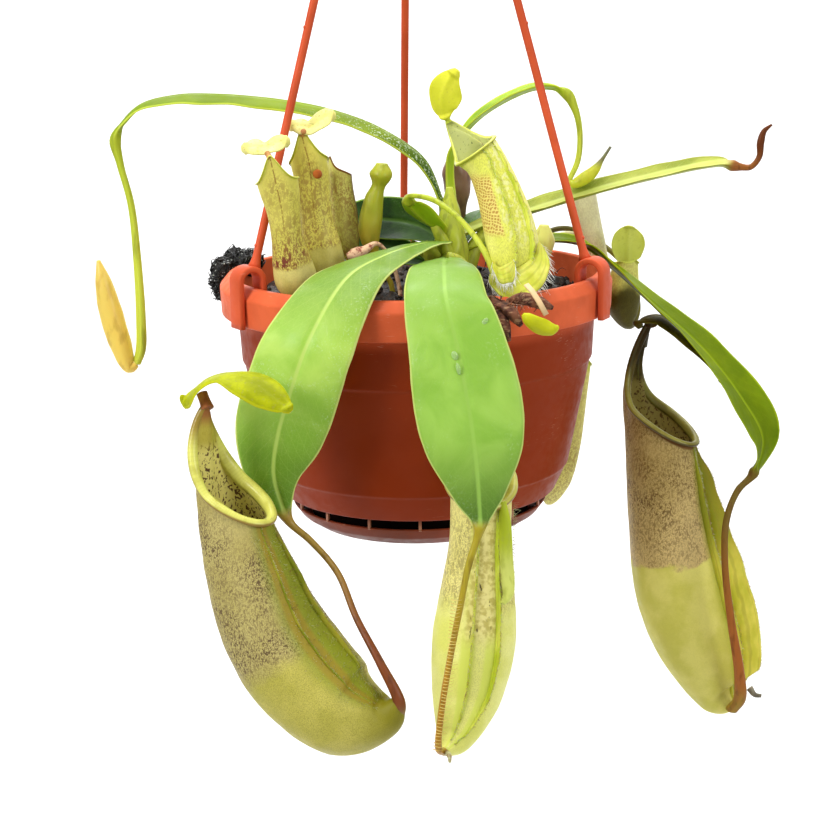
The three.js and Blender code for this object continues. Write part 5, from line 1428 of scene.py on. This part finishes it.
pitcher("pitcher_pale", grey_skin, lip_lime,
        path=[(46, 30, -17, 1.1), (46, 30, -3, 1.1), (54, 35, 5.5, 1.1), (63, 42, 6, 1.1),
              (72, 47, -3, 1.1), (77.4, 46.4, -16, 1.3), (76, 43.4, -22, 2.4), (73.6, 41.4, -13, 4.1),
              (71, 41, 0, 4.5), (68.4, 40.4, 12, 4.6), (66, 40, 24, 4.8)],
        front=(0.3, 1, 0), dip=0.4, neck=0.6, pinch=0.2, lip=0.45, **SMALL_TRAP)
pitcher("pitcher_round_lid", shaded_skin, lip_lime, None, lid_soft,
        path=[(42, 42, -17, 1.1), (42, 42, -4, 1.1), (50, 50, 4.5, 1.1), (61, 57, 6.5, 1.1),
              (75, 56, 0, 1.1), (85, 47, -10, 1.1), (88, 42, -24, 1.4), (84.6, 38.6, -28.6, 3.2),
              (81.8, 37, -21, 6.8), (82, 36.4, -12, 5.8), (82.4, 36, -4.6, 5)],
        front=(-0.2, 1, 0), dip=0.3, neck=0.5, pinch=0.2, lip=0.5, **SMALL_TRAP,
        lid=dict(seed=17, seat=(83.2, 30.6, -1.6),
                 rows=[(82.8, 29.4, -3.4, 2), (82.7, 29.2, -1.8, 4.8), (82.6, 29, 3, 6.6),
                       (82.7, 29.2, 7.4, 5.6), (82.9, 29.6, 9.8, 3.2), (83, 30, 10.8, 1)],
                 sides=[(1, 0.1, 0), (1, 0.1, 0)], fold=0.15, curl=0.2))
pitcher("pitcher_behind", pale_skin, lip_lime,
        path=[(20, 52, -17, 1.1), (20, 52, -4, 1.1), (28, 63, 5.5, 1.1), (38, 74, 3, 1.1),
              (47, 81, -18, 1.1), (52, 84, -60, 1.1), (53, 82, -100, 1.2), (55, 78, -113, 2.2),
              (58.5, 74, -104, 5.4), (61.5, 71, -88, 6.4), (64, 69, -70, 6), (66, 68, -52, 6)],
        front=(-0.3, 1, 0), dip=0.4, neck=0.6, pinch=0.2, lip=0.5, **SMALL_TRAP)

# Buds and young growth
# Closed buds at the ends of tendrils and short shoots in the soil.
# Each is a smooth swelling that narrows to a point, with a bloom of a second colour.


def bud(name, slot, low, high, stain, foot, top, sides, steps, uneven, rows):
    """A bud that turns from low to high between two heights in mm, with stains. rows are x, y, z, radius."""
    material = tissue(name + "_skin", low, 0.42, 0.3, Coat_Weight=0.12)
    tree = material.node_tree
    base = over(low, high, height_of(tree), foot, top)
    coat(material, "Base Color", over(base, stain, grain(tree, 0.35, 4, (1, 1, 0.4)), 0.5, 0.7, 0.6))
    bumped(material, grain(tree, 0.9, 4), 0.4, 0.25)
    finished(name + "_shoot", stem(rows, sides, steps, uneven), material, slot, name)


bud("bud_left", "lime_stem", (240, 208, 92), (222, 194, 90), (196, 158, 60), -30, 6, 32, 70, 0.05,
    [(*LEFT_BUD_TIP, 1.5), (-106, -18, -31.5, 2.6), (-109, -18, -23, 4.1), (-112, -18, -11, 4.3),
     (-114, -18, 0, 3), (-115.4, -18, 8, 0.7)])
bud("bud_right", "lime_stem", (204, 208, 60), (110, 112, 84), (170, 170, 50), 35, 39, 28, 60, 0.05,
    [(*RIGHT_BUD_TIP, 1), (60, 12, 29.6, 1.8), (64, 11, 31.6, 2.4), (67.6, 10.5, 34.6, 1.9),
     (70.4, 10, 38.6, 0.8), (73.6, 10, 43.4, 0.5)])
bud("pitcher_young", "leaf", (180, 164, 52), (172, 176, 42), (140, 142, 30), 12, 26, 32, 90, 0.08,
    [(-9, -14, -17, 1), (-9, -14, -4, 1), (-14, -14.5, 6, 1.2), (-16.6, -14.5, 14, 3.6),
     (-16, -14, 21, 4.2), (-14.4, -14, 29, 3.3), (-13, -14, 33, 2.5), (-12, -14, 37, 4.1),
     (-11.6, -14, 41, 2)])
bud("bud_yellow", "lime_stem", (206, 204, 92), (220, 220, 116), (176, 160, 80), 0, 18, 32, 60, 0.1,
    [(40, -24, -17, 1), (40, -24, -5, 1), (43, -21, 1, 1.8), (45, -20, 7, 3.4), (46.4, -20, 13, 4.1),
     (46.6, -20, 18.5, 1.6)])
bud("bud_dark", "dry_plant", (120, 92, 62), (140, 106, 88), (92, 66, 56), 10, 42, 32, 60, 0.12,
    [(20, 34, -17, 1), (20, 34, 0, 1), (18, 30, 14, 1.4), (16.6, 28, 24, 4.4), (16, 27, 33, 5.4),
     (15.4, 26, 42, 1.6)])

# Dried scraps
# A shrivelled brown leaf hangs over the rim with straw fibres, beside the lime lid of a lost pitcher.
# A pink dry lid lies among the stems at the left.
FIBRES = 16

dry = shader("dried_tissue", (96, 50, 34), 0.75)
dry_colour = over((52, 22, 16), (126, 78, 54), grain(dry.node_tree, 0.3, 5), 0.35, 0.65)
dry_streaks = grain(dry.node_tree, 0.9, 4, (0.4, 1, 1))
coat(dry, "Base Color", over(dry_colour, (190, 150, 110), dry_streaks, 0.54, 0.66, 0.5))
bumped(dry, grain(dry.node_tree, 0.8, 5), 0.8, 0.6)
dried = []
for rows, sides, waves, steps, seed, thick in (
        ([(24, -55, -17, 0.9), (24, -56, -6, 0.9), (25, -62, -2, 2.2), (28, -69, -1.6, 3),
          (32, -74, -4, 2.4), (35, -76.6, -7.6, 0.9)],
         [(1, 0.4, 0.3), (0.6, 0.7, -0.4), (0.4, 0.5, 0.8)], 6, 110, 3, 0.35),
        ([(26, -62, -1.4, 0.8), (27.6, -70, -3, 2.4), (29.4, -75, -8, 2.2), (31, -76.6, -13, 0.7)],
         [(1, 0.3, 0.2), (0.8, 0.6, 0.4)], 4, 80, 8, 0.3),
        ([(31, -66, -1, 0.8), (36, -70.6, 0.4, 2.2), (41, -72.6, -0.6, 2.4), (46, -72.6, -2.6, 0.7)],
         [(0.2, 0.6, 0.8), (0.1, 0.9, 0.4)], 5, 80, 9, 0.3)):
    dried.append(leaf_mesh(rows, sides, fold=0.5, ripple=0.9, waves=waves, curl=0.7, steps=steps,
                           groove=0.2, seed=seed, thick=thick))
for _ in range(FIBRES):
    start = np.array([chance.uniform(25, 42), chance.uniform(-74, -66), chance.uniform(-3, 1)])
    way = np.array([chance.uniform(-1, 1), chance.uniform(-0.8, 0.2), chance.uniform(-0.6, 0.5)])
    curl = chance.normal(size=3) * 3
    dried.append(strand([start + way * 7 * t + curl * t * t for t in np.linspace(0, 1, 8)], 0.35, 5))
straw = swept([(37, -72.6, 5.6), (39, -74.6, 3.4), (41, -76.8, 0.4), (43.4, -77.8, -4)],
              round_bar(1.0, 0.35, 0.2), (0.8, 0.5, 0.2))
finished("dried_leaf_straw", straw, shader("straw", (222, 190, 140), 0.6), "dry_plant")
finished("dried_leaf_blade", dried, dry, "dry_plant", "dried_leaf")

scoop = leaf_mesh([(35.4, -80.6, -3.2, 0.7), (36.6, -80.4, -4.2, 1.8), (38.6, -80, -5.8, 2.5),
                   (41.3, -79, -7.6, 2.9), (44.2, -77.6, -8.8, 2.6), (46.4, -76.4, -8.8, 1.5),
                   (47.4, -75.8, -8.4, 0.7)], [(-0.3, 0.2, -1), (-0.2, 0.2, -1)], fold=0.5, ripple=0.04,
                  waves=2, curl=0.2, steps=80, groove=0.2, seed=4, thick=0.45)
finished("lime_scrap_scoop", scoop, lid_yellow, "lime_stem", "lime_scrap")

pink = shader("pink_tissue", (214, 172, 140), 0.7)
pink_grain = grain(pink.node_tree, 0.7, 4)
coat(pink, "Base Color", over((150, 84, 66), (228, 188, 150), pink_grain, 0.34, 0.5))
bumped(pink, pink_grain, 0.7, 0.5)
pink_lid = leaf_mesh(
    [(-6, -20, -17, 0.8), (-6, -20, -4, 0.8), (-10, -22, 9, 0.7), (-14, -25, 13.4, 0.8),
     (-18.4, -28, 11.4, 1.7), (-21.4, -29.4, 10.4, 2.5), (-24.4, -30.2, 9.8, 1)],
    [(0.3, -0.4, 0.9), (0.3, -0.4, 0.9)], fold=0.3, ripple=0.3, waves=3, curl=0.4, steps=90, groove=0.2,
    seed=6, thick=0.35)
finished("pink_scrap_lid", pink_lid, pink, "dry_plant", "pink_scrap")

# Water drops
# A few clear drops of water stand on the front leaf where the spray caught it.
# They are flattened, and lean the way that they ran.
DROP_DEEP = 0.55


def drop(x, y, z, wide, high, lean):
    """A flattened drop around x, y, z in mm, turned by lean."""
    def point_at(way):
        a, b = way[0] * wide, way[1] * high
        a, b = a * math.cos(lean) - b * math.sin(lean), a * math.sin(lean) + b * math.cos(lean)
        return x + a, y - way[2] * DROP_DEEP, z + b
    return ball(0.06, 14, 22, point_at)


drops = [drop(12.4, -90.2, -14.8, 1.1, 1.6, 0.4), drop(13.5, -91.6, -19, 0.8, 2.1, 0.2),
         drop(22.5, -85.3, -4.6, 1.6, 0.9, 0.9)]
water = shader("water_drop", (206, 236, 160), 0.04, Transmission_Weight=0.55, IOR=1.33)
finished("water_drops", drops, water, "leaf")
